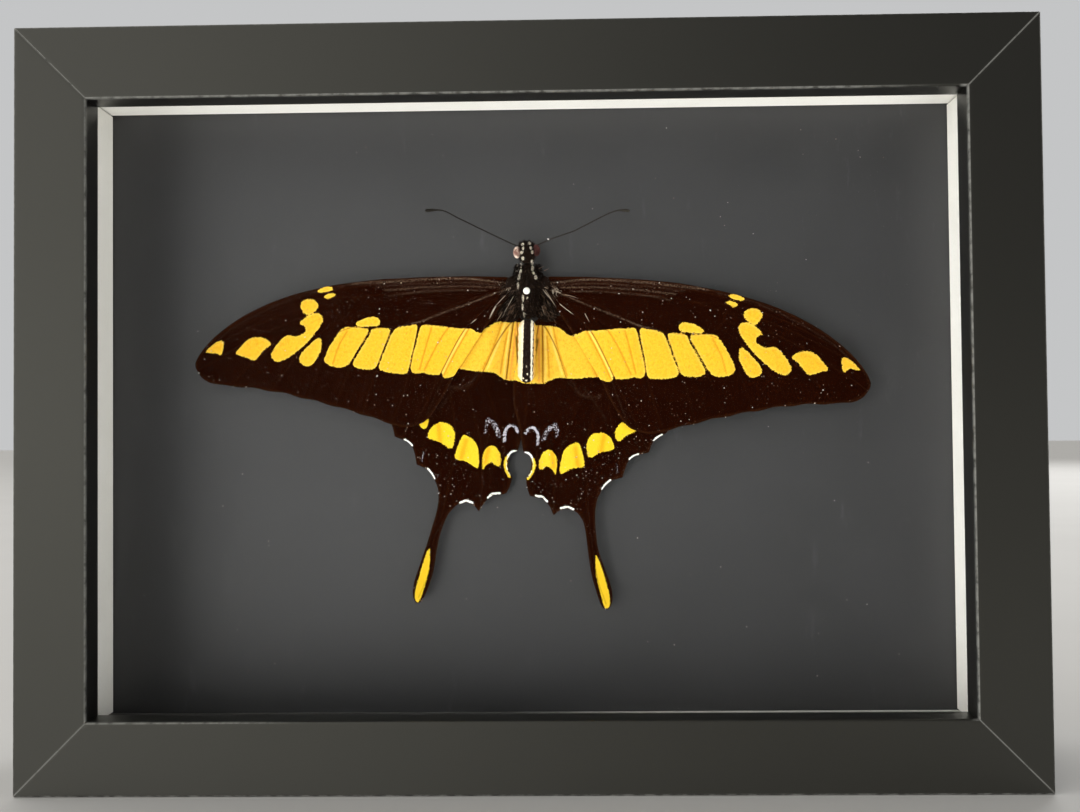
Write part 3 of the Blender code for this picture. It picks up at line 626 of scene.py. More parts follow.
def foil_finish(settings):
    """Matt black printed foil on board, with paler worn lines at the mitres and arrises, and a
    painted highlight laid in with them along the lip's inner arris. The back is bare brown board."""
    f = Finish("black_foil_on_board")
    at = f.millimetres()
    x, depth, height = f.parts(at)
    fine = f.noise(at, 3.4, 4, 0.6)
    cloud = f.noise(at, 0.05, 2, 0.5)
    # The mitre line is where the distances to the two nearest outer sides are the same.
    from_side = f.less(1000 * FRAME_HIGH[0], f.size(x))
    rise = f.size(f.less(height, 1000 * MIDDLE_HEIGHT))
    from_end = f.less(1000 * (FRAME_HIGH[2] - FRAME_LOW[2]) / 2, rise)
    off_mitre = f.size(f.less(from_side, from_end))
    nick = f.noise(at, 0.5, 4, 0.7)
    mitre = f.times(f.below(off_mitre, 0.10, 0.28), f.between(nick, 0.3, 0.5))
    edge = f.sum("MINIMUM", from_side, from_end)
    worn_and_lit_edges = f.times(f.below(edge, 0.10, 0.45), f.between(nick, 0.42, 0.62))
    front = f.below(depth, 1000 * FRONT + 0.5, 1000 * FRONT + 1.0)
    # Painted highlight: a pale line along the lip's inner arris, 14.15 mm in from the outer sides,
    # over the upper-left half of the frame and on the right rail. It is laid in with the wear.
    window = f.size(f.less(edge, 14.15))
    top_or_right = f.most(f.between(f.less(height, x), 55, 75), f.between(x, 84, 85))
    lit = f.times(f.below(window, 0.10, 0.24), top_or_right)
    worn_and_lit_edges = f.most(f.times(worn_and_lit_edges, 0.7), f.times(lit, f.between(nick, 0.3, 0.6)))
    pale = f.times(f.most(mitre, worn_and_lit_edges), front)
    speck = f.between(f.noise(at, 2.1, 2, 0.5), 0.775, 0.80)
    black = f.layers(
        opaque(settings.foil), (cloud, 1, tint(14, 13, 12)), (speck, 0.35, tint(120, 120, 116)),
        (pale, settings.wear_and_highlight, tint(128, 128, 124)),
    )
    long_grain = f.noise(f.millimetres((0.08, 1, 1)), 6.0, 3, 0.6)
    board = f.layers(
        tint(138, 104, 70), (f.noise(at, 0.8, 6, 0.75), 1, tint(100, 72, 46)),
        (f.between(long_grain, 0.55, 0.75), 1, tint(74, 52, 33)),
    )
    behind = f.between(depth, -1000 * FRONT - 0.12, -1000 * FRONT - 0.04)
    f.bump(f.plus(f.times(fine, 0.6), f.times(long_grain, 0.4)), 0.010)
    return f.surface(
        Base_Color=f.blend(behind, black, board),
        Roughness=f.plus(f.times(fine, 0.12), f.between(behind, 0, 1, 0.33, 0.78)),
        Specular_IOR_Level=settings.foil_gloss, Specular_Tint=tint(255, 254, 240),
    )


def lip_finish():
    """The lip's inner side: a duller copy of the black foil, blacker in colour as painted shade."""
    f = Finish("shade_darkened_lip")
    fine = f.noise(f.millimetres(), 2.4, 4, 0.6)
    f.bump(fine, 0.01)
    colour = f.blend(fine, tint(2, 2, 2), tint(7, 7, 6))
    return f.surface(Base_Color=colour, Roughness=0.42, Specular_IOR_Level=0.09)


def glass_finish():
    """Clear low-reflection picture glass."""
    f = Finish("clear_low_reflection_glass")
    smear = f.noise(f.millimetres(), 0.03, 3, 0.6)
    return f.surface(
        Base_Color=(0.99, 1.0, 0.995, 1.0), Roughness=f.between(smear, 0.4, 0.8, 0.0, 0.012),
        IOR=1.06, Transmission_Weight=1.0,
    )


def card_finish(name, settings, black, left_shade=0.0):
    """Card stock, either the black mounting sheet or the white inner strips. A strip given
    left_shade is painted grey with shade, most of all at its left end."""
    f = Finish(name)
    at = f.millimetres()
    fibre = f.noise(at, 5.5, 5, 0.65)
    cloud = f.noise(at, 0.045, 4, 0.62)
    if not black:
        edge = f.noise(at, 0.9, 3, 0.5)
        colour = f.layers(
            tint(246, 244, 239), (cloud, 1, tint(235, 232, 224)),
            (f.between(edge, 0.6, 0.8), 0.2, tint(205, 201, 190)),
            # Painted shade, darkest at the left end
            (f.between(f.parts(at)[0], -10, 40, left_shade, 0.45 * left_shade), 1, tint(30, 28, 26)),
        )
        f.bump(fibre, 0.012)
        return f.surface(Base_Color=colour, Roughness=0.85, Specular_IOR_Level=0.25)
    scuff = f.noise(f.millimetres((1, 1, 0.25), (0, 0.5, 0)), 0.35, 6, 0.7)
    colour = f.layers(
        opaque(settings.card), (cloud, 1, tint(33, 33, 35)),
        (f.between(scuff, 0.58, 0.8), 0.25, tint(92, 92, 94)),
        (f.between(f.noise(at, 3.2, 2, 0.5), 0.755, 0.79), 0.5, tint(150, 148, 142)),
    )
    f.bump(fibre, 0.02)
    return f.surface(
        Base_Color=colour, Roughness=f.between(cloud, 0.3, 0.7, 0.48, 0.56),
        Specular_IOR_Level=settings.card_gloss,
    )


def pad_finish():
    """White closed foam pad with fine cells."""
    f = Finish("white_foam_pad")
    at = f.millimetres()
    bubble, _ = f.cells(at, 3.0)
    f.bump(bubble, 0.05)
    colour = f.blend(f.noise(at, 0.2, 3, 0.5), tint(236, 235, 228), tint(220, 217, 206))
    return f.surface(Base_Color=colour, Roughness=0.9)


def hardboard_finish():
    """Brown hardboard with short pressed fibres and a rubbed, darker side."""
    f = Finish("brown_hardboard")
    at = f.millimetres()
    fibres = f.noise(f.millimetres((1, 1, 0.35), (0, 0.6, 0)), 2.6, 6, 0.72)
    crossed = f.noise(f.millimetres((0.35, 1, 1), (0, -0.4, 0)), 2.2, 6, 0.72)
    cloud = f.noise(at, 0.06, 3, 0.6)
    colour = f.layers(
        tint(122, 86, 55), (cloud, 1, tint(98, 67, 42)),
        (f.between(fibres, 0.5, 0.72), 1, tint(152, 113, 76)),
        (f.between(crossed, 0.56, 0.74), 0.7, tint(66, 43, 26)),
    )
    f.bump(f.plus(fibres, crossed), 0.035)
    return f.surface(Base_Color=colour, Roughness=f.between(cloud, 0.3, 0.7, 0.48, 0.62))


def zinc_finish():
    """Zinc-plated spring steel with rolling lines and dull patches."""
    f = Finish("zinc_plated_steel")
    at = f.millimetres()
    lines = f.noise(f.millimetres((0.06, 1, 1)), 9.0, 3, 0.6)
    dull = f.noise(at, 0.5, 4, 0.6)
    colour = f.blend(dull, tint(196, 198, 200), tint(150, 152, 152))
    f.bump(lines, 0.006)
    return f.surface(
        Base_Color=colour, Metallic=1.0, Roughness=f.between(dull, 0.3, 0.7, 0.28, 0.46)
    )


def wing_finish(settings):
    """Scaled wing membrane. Its points say how deep they lie in the yellow, white and frosted
    marks, how far off the veins, creases and margin are, how strong the rays and folds are, and
    where the painted highlights on the pleats and the painted shade by the abdomen lie."""
    f = Finish("wing_scales")
    at = f.millimetres()
    scale_edge, scale_colour = f.cells(f.millimetres((1, 0.2, 0.62)), 6.4)
    shade = f.node("ShaderNodeSeparateColor", Color=scale_colour).outputs["Red"]
    ragged = f.less(f.noise(at, 3.6, 3, 0.6), 0.5)
    ragged = f.plus(f.times(ragged, 0.9), f.times(f.less(shade, 0.5), 0.10))
    cloud = f.noise(at, 0.11, 3, 0.6)
    gold_depth = f.plus(f.value("gold"), ragged)
    vein = f.value("vein")
    # Dark ground: velvety black-brown, browner towards the outer margin and over the veins, with
    # dashed rays of pale scales, loose scales, and single darker ones
    dashes = f.between(f.noise(f.millimetres((0.8, 1, 1)), 4.2, 3, 0.7), 0.45, 0.58)
    dark = f.layers(
        opaque(settings.dark), (cloud, 1, tint(34, 10, 3)),
        (f.below(vein, 0.05, 0.26), 0.10, tint(70, 40, 24)),
        (f.below(f.value("margin"), 0.1, 0.7), 0.5, tint(52, 28, 14)),
        (f.value("ray"), dashes, tint(128, 106, 88)),
        (f.between(f.noise(at, 2.9, 2, 0.4), 0.735, 0.765), 0.6, tint(150, 126, 112)),
        (shade, 0.25, tint(12, 3, 1)),
    )
    # Yellow marks: warm mottling, a paler rim, painted highlights on the pleats, painted shade in
    # brown along the creases and near-black along a crease and the gap beside the abdomen, and
    # brown along the veins, most of all in the band
    in_band = f.between(f.size(f.parts(at)[0]), 42, 45, 0.75, 0.12)
    yellow = f.layers(
        opaque(settings.gold), (f.value("inner"), 1, tint(238, 192, 62)),
        (cloud, 0.3, tint(240, 186, 30)),
        (f.between(f.noise(at, 1.5, 5, 0.72), 0.42, 0.68), 0.55, tint(214, 142, 22)),
        (f.below(gold_depth, 0.05, 0.55), 0.40, tint(240, 208, 92)),
        (shade, 0.14, tint(255, 226, 110)),
        (f.value("fold"), 0.6, tint(216, 136, 62)), (f.value("gleam"), 0.55, tint(250, 222, 116)),
        (f.below(f.value("crease"), 0.02, 0.34), 0.55, tint(184, 104, 14)),
        (f.below(vein, 0.03, 0.22), in_band, tint(120, 62, 10)),
        (f.value("lemon"), 0.6, tint(238, 203, 36)), (f.value("streak"), 1, tint(214, 128, 14)),
        (f.value("soot"), 1, tint(40, 18, 6)),
    )
    frost = f.between(f.less(f.value("frost"), f.noise(at, 3.0, 3, 0.7)), -0.04, 0.08)
    chalk = f.between(f.plus(f.value("chalk"), f.times(ragged, 0.6)), -0.06, 0.08)
    colour = f.layers(
        dark, (f.between(gold_depth, -0.05, 0.07), 1, yellow), (frost, 1, tint(188, 184, 194)),
        (chalk, 1, tint(246, 244, 236)),
    )
    f.bump(f.plus(scale_edge, f.times(f.noise(at, 1.6, 3, 0.6), 0.8)), 0.03)
    return f.surface(
        Base_Color=colour, Roughness=f.between(shade, 0, 1, 0.62, 0.80), Specular_IOR_Level=0.0,
    )


def body_finish(settings):
    """Chitin under hair and scales: pale spots and sides where the points say so."""
    f = Finish("dark_body_scales")
    at = f.millimetres()
    edge, colour_of = f.cells(at, 7.0)
    shade = f.node("ShaderNodeSeparateColor", Color=colour_of).outputs["Red"]
    ragged = f.times(f.less(f.noise(at, 4.0, 3, 0.6), 0.5), 0.5)
    pale = f.between(f.plus(f.value("cream"), ragged), -0.08, 0.08)
    dark = f.blend(f.noise(at, 1.2, 3, 0.6), tint(15, 8, 5), tint(32, 20, 13))
    # Cream turns buff where the points say so. On the abdomen's right side that buff is partly
    # painted shade.
    cream = f.layers(
        tint(255, 250, 234), (shade, 1, tint(240, 226, 194)),
        (f.value("buff_and_shade"), 1, tint(226, 176, 76)),
    )
    f.bump(f.plus(edge, f.noise(at, 2.0, 3, 0.6)), 0.06)
    return f.surface(
        Base_Color=f.blend(pale, dark, cream), Roughness=0.6, Specular_IOR_Level=settings.body_gloss
    )


def hair_finish():
    """Hairs: each one's tone runs from black-brown to pale straw, and the tips bleach a little."""
    f = Finish("body_hair")
    at = f.millimetres()
    tone = f.plus(f.value("tone"), f.times(f.value("share"), 0.06), hold=True)
    colour = f.layers(
        tint(13, 7, 4), (f.between(tone, 0.1, 0.6), 1, tint(124, 98, 78)),
        (f.between(tone, 0.55, 1.0), 1, tint(250, 240, 222)),
        (f.noise(at, 3.0, 2, 0.5), f.between(tone, 0.5, 0.9, 0.3, 0.0), tint(34, 20, 10)),
    )
    return f.surface(Base_Color=colour, Roughness=0.6, Specular_IOR_Level=0.04)


def horn_finish(name, deep, pale):
    """Dark scaled horn of an antenna, with fine pores."""
    f = Finish(name)
    at = f.millimetres()
    pores, _ = f.cells(at, 16.0, 0.3)
    f.bump(pores, 0.012)
    colour = f.blend(f.noise(at, 1.0, 3, 0.6), deep, pale)
    rough = f.between(pores, 0.0, 0.6, 0.42, 0.6)
    return f.surface(Base_Color=colour, Roughness=rough, Specular_IOR_Level=0.06)


def eye_finish(name, deep, pale):
    """Dried compound eye: a fine honeycomb with paler, clouded patches."""
    f = Finish(name)
    at = f.millimetres()
    facets, _ = f.cells(at, 14.0, 0.25)
    cloud = f.noise(at, 0.9, 4, 0.65)
    f.bump(facets, 0.015)
    colour = f.blend(f.between(cloud, 0.38, 0.62), deep, pale)
    rough = f.between(facets, 0.0, 0.6, 0.34, 0.5)
    return f.surface(Base_Color=colour, Roughness=rough, Specular_IOR_Level=0.15)


def pin_finish(name, head):
    """White nylon pin head, or the black enamelled steel shaft."""
    f = Finish(name)
    at = f.millimetres()
    soft = f.noise(at, 2.0, 3, 0.5)
    if head:
        colour = f.blend(soft, tint(246, 244, 238), tint(228, 224, 214))
        f.bump(soft, 0.01)
        return f.surface(Base_Color=colour, Roughness=0.32, Subsurface_Weight=0.15,
                         Subsurface_Radius=(0.4 * MM, 0.3 * MM, 0.2 * MM))
    colour = f.blend(soft, tint(34, 34, 36), tint(60, 58, 56))
    return f.surface(Base_Color=colour, Metallic=0.6, Roughness=f.between(soft, 0.3, 0.7, 0.3, 0.5))


def scale_dust_finish():
    """Loose wing scales and dust, from straw to grey-white."""
    f = Finish("loose_scales")
    cloud = f.noise(f.millimetres(), 4.0, 2, 0.5)
    colour = f.layers(
        tint(116, 90, 72), (f.value("tone"), 1, tint(240, 236, 232)),
        (cloud, 0.5, tint(150, 130, 112)),
    )
    return f.surface(Base_Color=colour, Roughness=0.7, Specular_IOR_Level=0.2)


# ---------------------------------------------------------------------------------------------
# Settings
# ---------------------------------------------------------------------------------------------


def colour_setting(name, description, default):
    return FloatVectorProperty(
        name=name, description=description, default=default[:3], size=3, min=0.0, max=1.0,
        subtype="COLOR",
    )


def share_setting(name, description, default):
    return FloatProperty(
        name=name, description=description, default=default, min=0.0, max=1.0, subtype="FACTOR",
    )


def length_setting(name, description, default, low, high):
    return FloatProperty(
        name=name, description=description, default=default, min=low, max=high, unit="LENGTH",
    )


class FrameSettings(PropertyGroup):
    """What a user would change on the frame and its cards."""

    arris: length_setting(
        "Outer arris", "Radius of the frame's outer front edge", 0.0005, 0.0001, 0.002,
    )
    foil: colour_setting("Foil", "Colour of the black foil", tint(10, 10, 9))
    foil_gloss: share_setting("Foil gloss", "Strength of the foil's sheen", 0.82)
    # Wear also sets how pale the painted highlight on the lip's inner arris is.
    wear_and_highlight: share_setting("Wear", "How pale the mitres and edges have worn", 0.6)
    card: colour_setting("Mounting card", "Colour of the black mounting card", tint(27, 27, 28))
    card_gloss: share_setting("Card gloss", "Strength of the card's sheen", 0.84)


class ButterflySettings(PropertyGroup):
    """What a user would change on the butterfly."""

    dark: colour_setting("Wing ground", "Colour of the wings' dark ground", tint(20, 4, 1))
    gold: colour_setting("Wing marks", "Colour of the wings' yellow marks", tint(232, 177, 39))
    wing_sheet: length_setting(
        "Wing thickness", "Thickness of the wing sheets with their scales", 0.00013, 0.00005,
        0.0003,
    )
    hair_length: length_setting(
        "Hair length", "Length of the thorax's longer hairs", 0.0013, 0.0004, 0.003,
    )
    hair_count: IntProperty(
        name="Hairs", description="Number of hairs on the thorax", default=3000, min=200, max=6000,
    )
    body_gloss: share_setting("Body gloss", "Strength of the body's sheen", 0.06)


class StageSettings(PropertyGroup):
    """Strengths of the studio light."""

    key: FloatProperty(
        name="Key light", description="Power of the tall soft light on the left", default=12.2,
        min=0.0, unit="POWER",
    )
    surround: FloatProperty(
        name="Surround", description="Brightness of the pale surround", default=0.9, min=0.0,
        max=4.0,
    )


# ---------------------------------------------------------------------------------------------
# Pieces
# ---------------------------------------------------------------------------------------------


class SPECIMEN_OT_rails(Operator):
    """Makes the four mitred rails of the frame"""

    bl_idname = "specimen.rails"
    bl_label = "Rails"

    def profile(self, arris):
        """The rail's section as (inset from the outer side, depth): quarter circles at the front
        arrises and the lip, and straight runs between them."""
        quarter = np.linspace(0, pi / 2, 7)[:, None]
        face, wall, lip, deep = 0.0143, 0.0090, 0.0060, FRAME_HIGH[1] - FRONT

        def corner(centre, radius, start):
            turned = quarter + start
            return np.array(centre) + radius * np.hstack([np.cos(turned), np.sin(turned)])

        return np.vstack([
            corner((arris, arris), arris, pi),
            np.linspace((2 * arris, 0), (face - 0.001, 0), 5),
            corner((face - 0.0004, 0.0004), 0.0004, -pi / 2),
            corner((face - 0.0002, lip - 0.0002), 0.0002, 0),
            [(wall, lip)],
            corner((wall - 0.0003, deep - 0.0003), 0.0003, 0),
            corner((0.0004, deep - 0.0004), 0.0004, pi / 2),
        ])

    def execute(self, context):
        settings = context.scene.specimen_frame
        finish, dull = foil_finish(settings), lip_finish()
        section = self.profile(settings.arris)
        inset, depth = section.T
        # Points of the lip's inner side, behind its rounded front arris
        inner = (inset > 0.0075) & (depth > 0.0004)
        sides = {
            "rail_bottom": ((1, 0), (0, 1)), "rail_top": ((1, 0), (0, -1)),
            "rail_left": ((0, 1), (1, 0)), "rail_right": ((0, 1), (-1, 0)),
        }
        middle = np.array([0.0, MIDDLE_HEIGHT])
        reach = np.array([FRAME_HIGH[0], (FRAME_HIGH[2] - FRAME_LOW[2]) / 2])
        for name, (along, inward) in sides.items():
            along, inward = np.array(along), np.array(inward)
            # Each end of the section stops at the mitre, and dips there into a fine groove.
            half = abs(along @ reach) - inset - 0.00003
            from_end = np.array([0.0, 0.00008, 0.0002, 0.001, 0.004])
            runs = np.linspace(-1, 1, 15)[1:-1, None] * (half - 0.008)
            stations = np.vstack([from_end[:, None] - half, runs, half - from_end[::-1, None]])
            dip = np.zeros(len(stations))
            dip[[0, -1]] = 0.00006
            dip[[1, -2]] = 0.00002
            across = (inset[:, None] - abs(inward @ reach)) * inward
            flat = middle + stations[..., None] * along + across
            back = FRONT + depth + dip[:, None] * (depth < 0.0003)
            back = np.broadcast_to(back, flat.shape[:2])
            points = np.stack([flat[..., 0], back, flat[..., 1]], -1)
            count, columns = points.shape[:2]
            end = np.arange(columns)[None]
            skin = [grid_faces(count, columns, round_columns=True), end[:, ::-1]]
            faces = turned_out(points.reshape(-1, 3), [*skin, (count - 1) * columns + end])
            piece = new_piece(f"{name}_board", points, faces, finish, [name])
            # The lip's inner side takes the darker copy of the foil: painted shade.
            piece.data.materials.append(dull)
            on_lip = np.append(np.tile(inner & np.roll(inner, -1), count - 1), [False, False])
            piece.data.polygons.foreach_set("material_index", on_lip.astype(np.int32))
            piece.data.shade_smooth()
            piece.data.set_sharp_from_angle(angle=radians(28))
        return {"FINISHED"}


def turned_out(points, faces):
    """The faces of a closed skin, turned round if the volume inside them comes out negative."""
    volume = 0.0
    for part in faces:
        part = np.asarray(part)
        first, rest = points[part[:, :1]], points[part[:, 1:]]
        volume += np.einsum("fij,fij->", np.broadcast_to(first, rest[:, 1:].shape),
                            np.cross(rest[:, :-1], rest[:, 1:]))
    return faces if volume > 0 else [np.asarray(part)[:, ::-1] for part in faces]


def dress(names, finish):
    """Gives each of these CAD nodes one material."""
    for name in names:
        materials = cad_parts[name].data.materials
        materials.clear()
        materials.append(finish)


class SPECIMEN_OT_glazing(Operator):
    """Finishes the glass, the inner strips, the mounting card and the pad"""

    bl_idname = "specimen.glazing"
    bl_label = "Glass, strips and card"

    def execute(self, context):
        settings = context.scene.specimen_frame
        dress(["glass"], glass_finish())
        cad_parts["glass"].visible_shadow = False
        dress(["backing_card"], card_finish("black_mounting_card", settings, True))
        dress(["pinning_pad"], pad_finish())
        white = card_finish("white_strip_card", settings, False)
        dress([f"spacer_{side}" for side in ("top", "left", "right")], white)
        # The bottom strip is painted with shade, darkest at its left end.
        dress(["spacer_bottom"], card_finish("left_shaded_strip_card", settings, False, 0.93))
        return {"FINISHED"}


class SPECIMEN_OT_back(Operator):
    """Finishes the backboard, the bent points, the hanger plate and its rivets"""

    bl_idname = "specimen.back"
    bl_label = "Back and hanger"

    def execute(self, context):
        dress(["backboard"], hardboard_finish())
        steel = [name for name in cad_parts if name.startswith(("point_", "hanger_"))]
        dress(steel, zinc_finish())
        return {"FINISHED"}


def swung(places, root, fit):
    """Drawing points scaled and swung forward about the root, as x and up."""
    turn = radians(fit["swing"])
    x, up = ((places - np.array(root)) * fit["scale"]).T
    return root[0] + x * cos(turn) - up * sin(turn), root[1] + x * sin(turn) + up * cos(turn)


def left_fore(places):
    """A right forewing's drawing points moved to the left one."""
    fit = FORE_LEFT
    x, up = swung(places, FORE_ROOT, fit)
    beyond = np.maximum(x - fit["hinge"], 0)
    return np.stack([fit["shorter"] * beyond - x, up + fit["rise"] * beyond], -1)


def left_hind(places):
    """A right hindwing's drawing points moved to the left one: the tail bows as a bell curve."""
    fit = HIND_LEFT
    x, up = swung(places, HIND_ROOT, fit)
    reach, height, spread = fit["bow"]
    bow = reach * np.exp(-(((up - height) / spread) ** 2))
    x = x + bow - fit["narrower"] * np.maximum(x - fit["side"], 0)
    longer = fit["tail_longer"] * np.maximum(fit["tail_from"] - up, 0)
    return np.stack([-x, up + fit["lift"] - longer], -1)


def marks_depth(places, outlines):
    """How deep places lie in a set of rounded marks: the greatest of their inside depths."""
    rounded = [smooth_line(outline, steps=5, closed=True) for outline in outlines]
    return np.max([inside_depth(places, outline) for outline in rounded], axis=0)


def nearest_line(places, lines):
    return np.min([line_distance(places, smooth_line(line, steps=6)) for line in lines], axis=0)


class SPECIMEN_OT_wings(Operator):
    """Makes the four wings with their veins, pleats and marks"""

    bl_idname = "specimen.wings"
    bl_label = "Wings"

    def sheet(self, span, steps, columns, wave):
        """Grid of drawing points: along each row the point moves straight from the leading to the
        trailing edge, and the row bows up by bow 4 v (1 - v). A cosine of height wave scallops the
        trailing edge between the vein ends. Returns the grid, each point's share v along its row,
        each point's share along the wing, and the outline."""
        edges = []
        for side in (0, 1):
            corners = [i for i, row in enumerate(span) if len(row[side]) > 2]
            edges.append(smooth_line([row[side][:2] for row in span], corners, steps))
        bows = [sum(row[2:]) for row in span]
        bow = np.interp(np.arange(len(edges[0])) / steps, np.arange(len(span)), bows)
        v = np.linspace(0, 1, columns)
        grid = edges[0][:, None] * (1 - v[:, None]) + edges[1][:, None] * v[:, None]
        grid[..., 1] += bow[:, None] * 4 * v * (1 - v)
        outer = np.clip((grid[..., 0] - 24) / 8, 0, 1)
        grid[..., 1] -= wave * outer * v**14 * np.cos(2 * pi * (grid[..., 0] - 28.3) / 6.7)
        share = np.linspace(0, 1, len(grid))[:, None]
        shares = (np.broadcast_to(part, grid.shape[:2]).ravel() for part in (v, share))
        return grid, *shares, np.vstack([edges[0], edges[1][::-1]])

    def values(self, places, outline, fore):
        """What the wing finish reads at each point, in millimetres or as a share."""

        def glow(lines, width, power=2):
            """1 on the nearest of the lines, and less beside it as a bell curve."""
            return np.exp(-((nearest_line(places, lines) / width) ** power))

        still = np.zeros(len(places))
        values = {
            "gold": marks_depth(places, FORE_GOLD if fore else HIND_GOLD),
            "vein": nearest_line(places, FORE_VEINS if fore else HIND_VEINS),
            "crease": nearest_line(places, FORE_CREASES if fore else HIND_CREASES),
            "gleam": glow(FORE_GLEAMS if fore else HIND_GLEAMS, 0.22),
            "margin": line_distance(places, outline[::4], closed=True),
            "inner": np.clip(1 - (np.abs(places[:, 0]) - 1) / 16, 0, 1),
            "ray": still, "chalk": still - 1, "frost": still, "soot": still, "fold": still,
            "lemon": still, "streak": still,
        }
        for line, width, strength in FORE_RAYS if fore else HIND_RAYS:
            values["ray"] = np.maximum(values["ray"], strength * glow([line], width))
        if fore:
            return values
        for line, width in HIND_CHALK:
            depth = width / 2 - nearest_line(places, [line])
            values["chalk"] = np.maximum(values["chalk"], depth)
        for line, width, strength in HIND_FROST:
            values["frost"] = np.maximum(values["frost"], strength * glow([line], width, 4))
        # Painted shade: near-black along the first crease and in the gap beside the abdomen
        values["soot"] = np.maximum(0.75 * glow(HIND_CREASES[:1], 0.16), 0.9 * glow(HIND_GAP, 0.24))
        values["fold"] = np.exp(-(((places[:, 0] - 2.25) / 0.32) ** 2))
        values["lemon"] = np.clip((-1 - places[:, 1]) / 3, 0, 1)
        values["streak"] = 0.55 * glow(HIND_STREAKS, 0.55)
        return values

    def relief(self, values, v, share, fore):
        """Height of the sheet towards the glass, in millimetres: a ridge over each vein, a belly
        between veins, a groove at each crease, a stiff leading edge and a low overall camber."""
        ridge = 0.10 * np.exp(-((values["vein"] / 0.17) ** 2))
        belly = 0.12 * np.minimum(values["vein"], 1.6) / 1.6
        groove = 0.09 * np.exp(-((values["crease"] / 0.32) ** 2)) - 0.07 * values["gleam"]
        camber = (0.22 if fore else 0.10) * np.sin(pi * v) * (1 - 0.5 * share)
        stiff = 0.16 * np.exp(-((v / 0.05) ** 2)) if fore else 0
        return ridge + belly - groove + camber + stiff

    def execute(self, context):
        settings = context.scene.specimen_butterfly
        finish = wing_finish(settings)
        kinds = {
            "forewing": (
                FORE_SPAN, 18, 96, left_fore, {1: FORE_PLANE, -1: FORE_PLANE}, {1: 0, -1: 0},
            ),
            "hindwing": (HIND_SPAN, 12, 110, left_hind, HIND_PLANE, {1: 0.4, -1: 1.1}),
        }
        for kind, (span, steps, columns, on_left, planes, rise) in kinds.items():
            fore = kind == "forewing"
            grid, v, share, outline = self.sheet(span, steps, columns, 0.15 if fore else 0)
            places = grid.reshape(-1, 2)
            values = self.values(places, outline, fore)
            relief = self.relief(values, v, share, fore)
            for side, word in ((1, "right"), (-1, "left")):
                drawn = places if side == 1 else on_left(places)
                if fore and side == -1:
                    values["gold"] = np.maximum(values["gold"], marks_depth(places, LEFT_GOLD))
                # Away from the body the hindwing rises to lie against the forewing.
                out = np.clip((np.abs(drawn[:, 0]) - 3) / 6, 0, 1)
                front = relief + rise[side] * out * out * (3 - 2 * out)
                points = place(drawn[:, 0], drawn[:, 1], planes[side] - FRONT - front * MM)
                quads = grid_faces(*grid.shape[:2])[:, ::-side]
                name = f"{kind}_{word}"
                piece = new_piece(
                    f"{name}_scaled", points, [quads], finish, [name], values,
                )
                wall = piece.modifiers.new("Membrane", "SOLIDIFY")
                wall.thickness = settings.wing_sheet
                wall.offset = 0.0
        return {"FINISHED"}


def ramp(value, width):
    """0 up to 0, 1 from width on, and straight between them."""
    return np.clip(value / width, 0, 1)


def arch(share, ends):
    """An arch from 0 up to 1 and back: the smaller ends is, the blunter are its ends."""
    return (2 * np.sqrt(share * (1 - share))) ** ends


def ellipsoid(middle, half):
    """Points and faces of an ellipsoid with its poles at the left and right: circles of radius
    sin t at cos t along x. middle and half are (x, up, behind the front) in millimetres."""
    t = np.linspace(0.05, pi - 0.05, 24)[:, None]
    angle = np.arange(32) * 2 * pi / 32
    x = middle[0] + half[0] * np.cos(t) + 0 * angle
    up = middle[1] + half[1] * np.sin(t) * np.cos(angle)
    behind = middle[2] + half[2] * np.sin(t) * np.sin(angle)
    points, faces = rings_piece(place(x, up, behind * MM))
    return points, turned_out(points, faces)


def spots_depth(x, up, spots):
    """How deep points lie in the cream spots, in millimetres: each spot is an ellipse."""
    x0, up0, wide, high = np.array(spots).T
    reach = np.sqrt(((x[..., None] - x0) / wide) ** 2 + ((up[..., None] - up0) / high) ** 2)
    return ((1 - reach) * np.minimum(wide, high)).max(axis=-1)


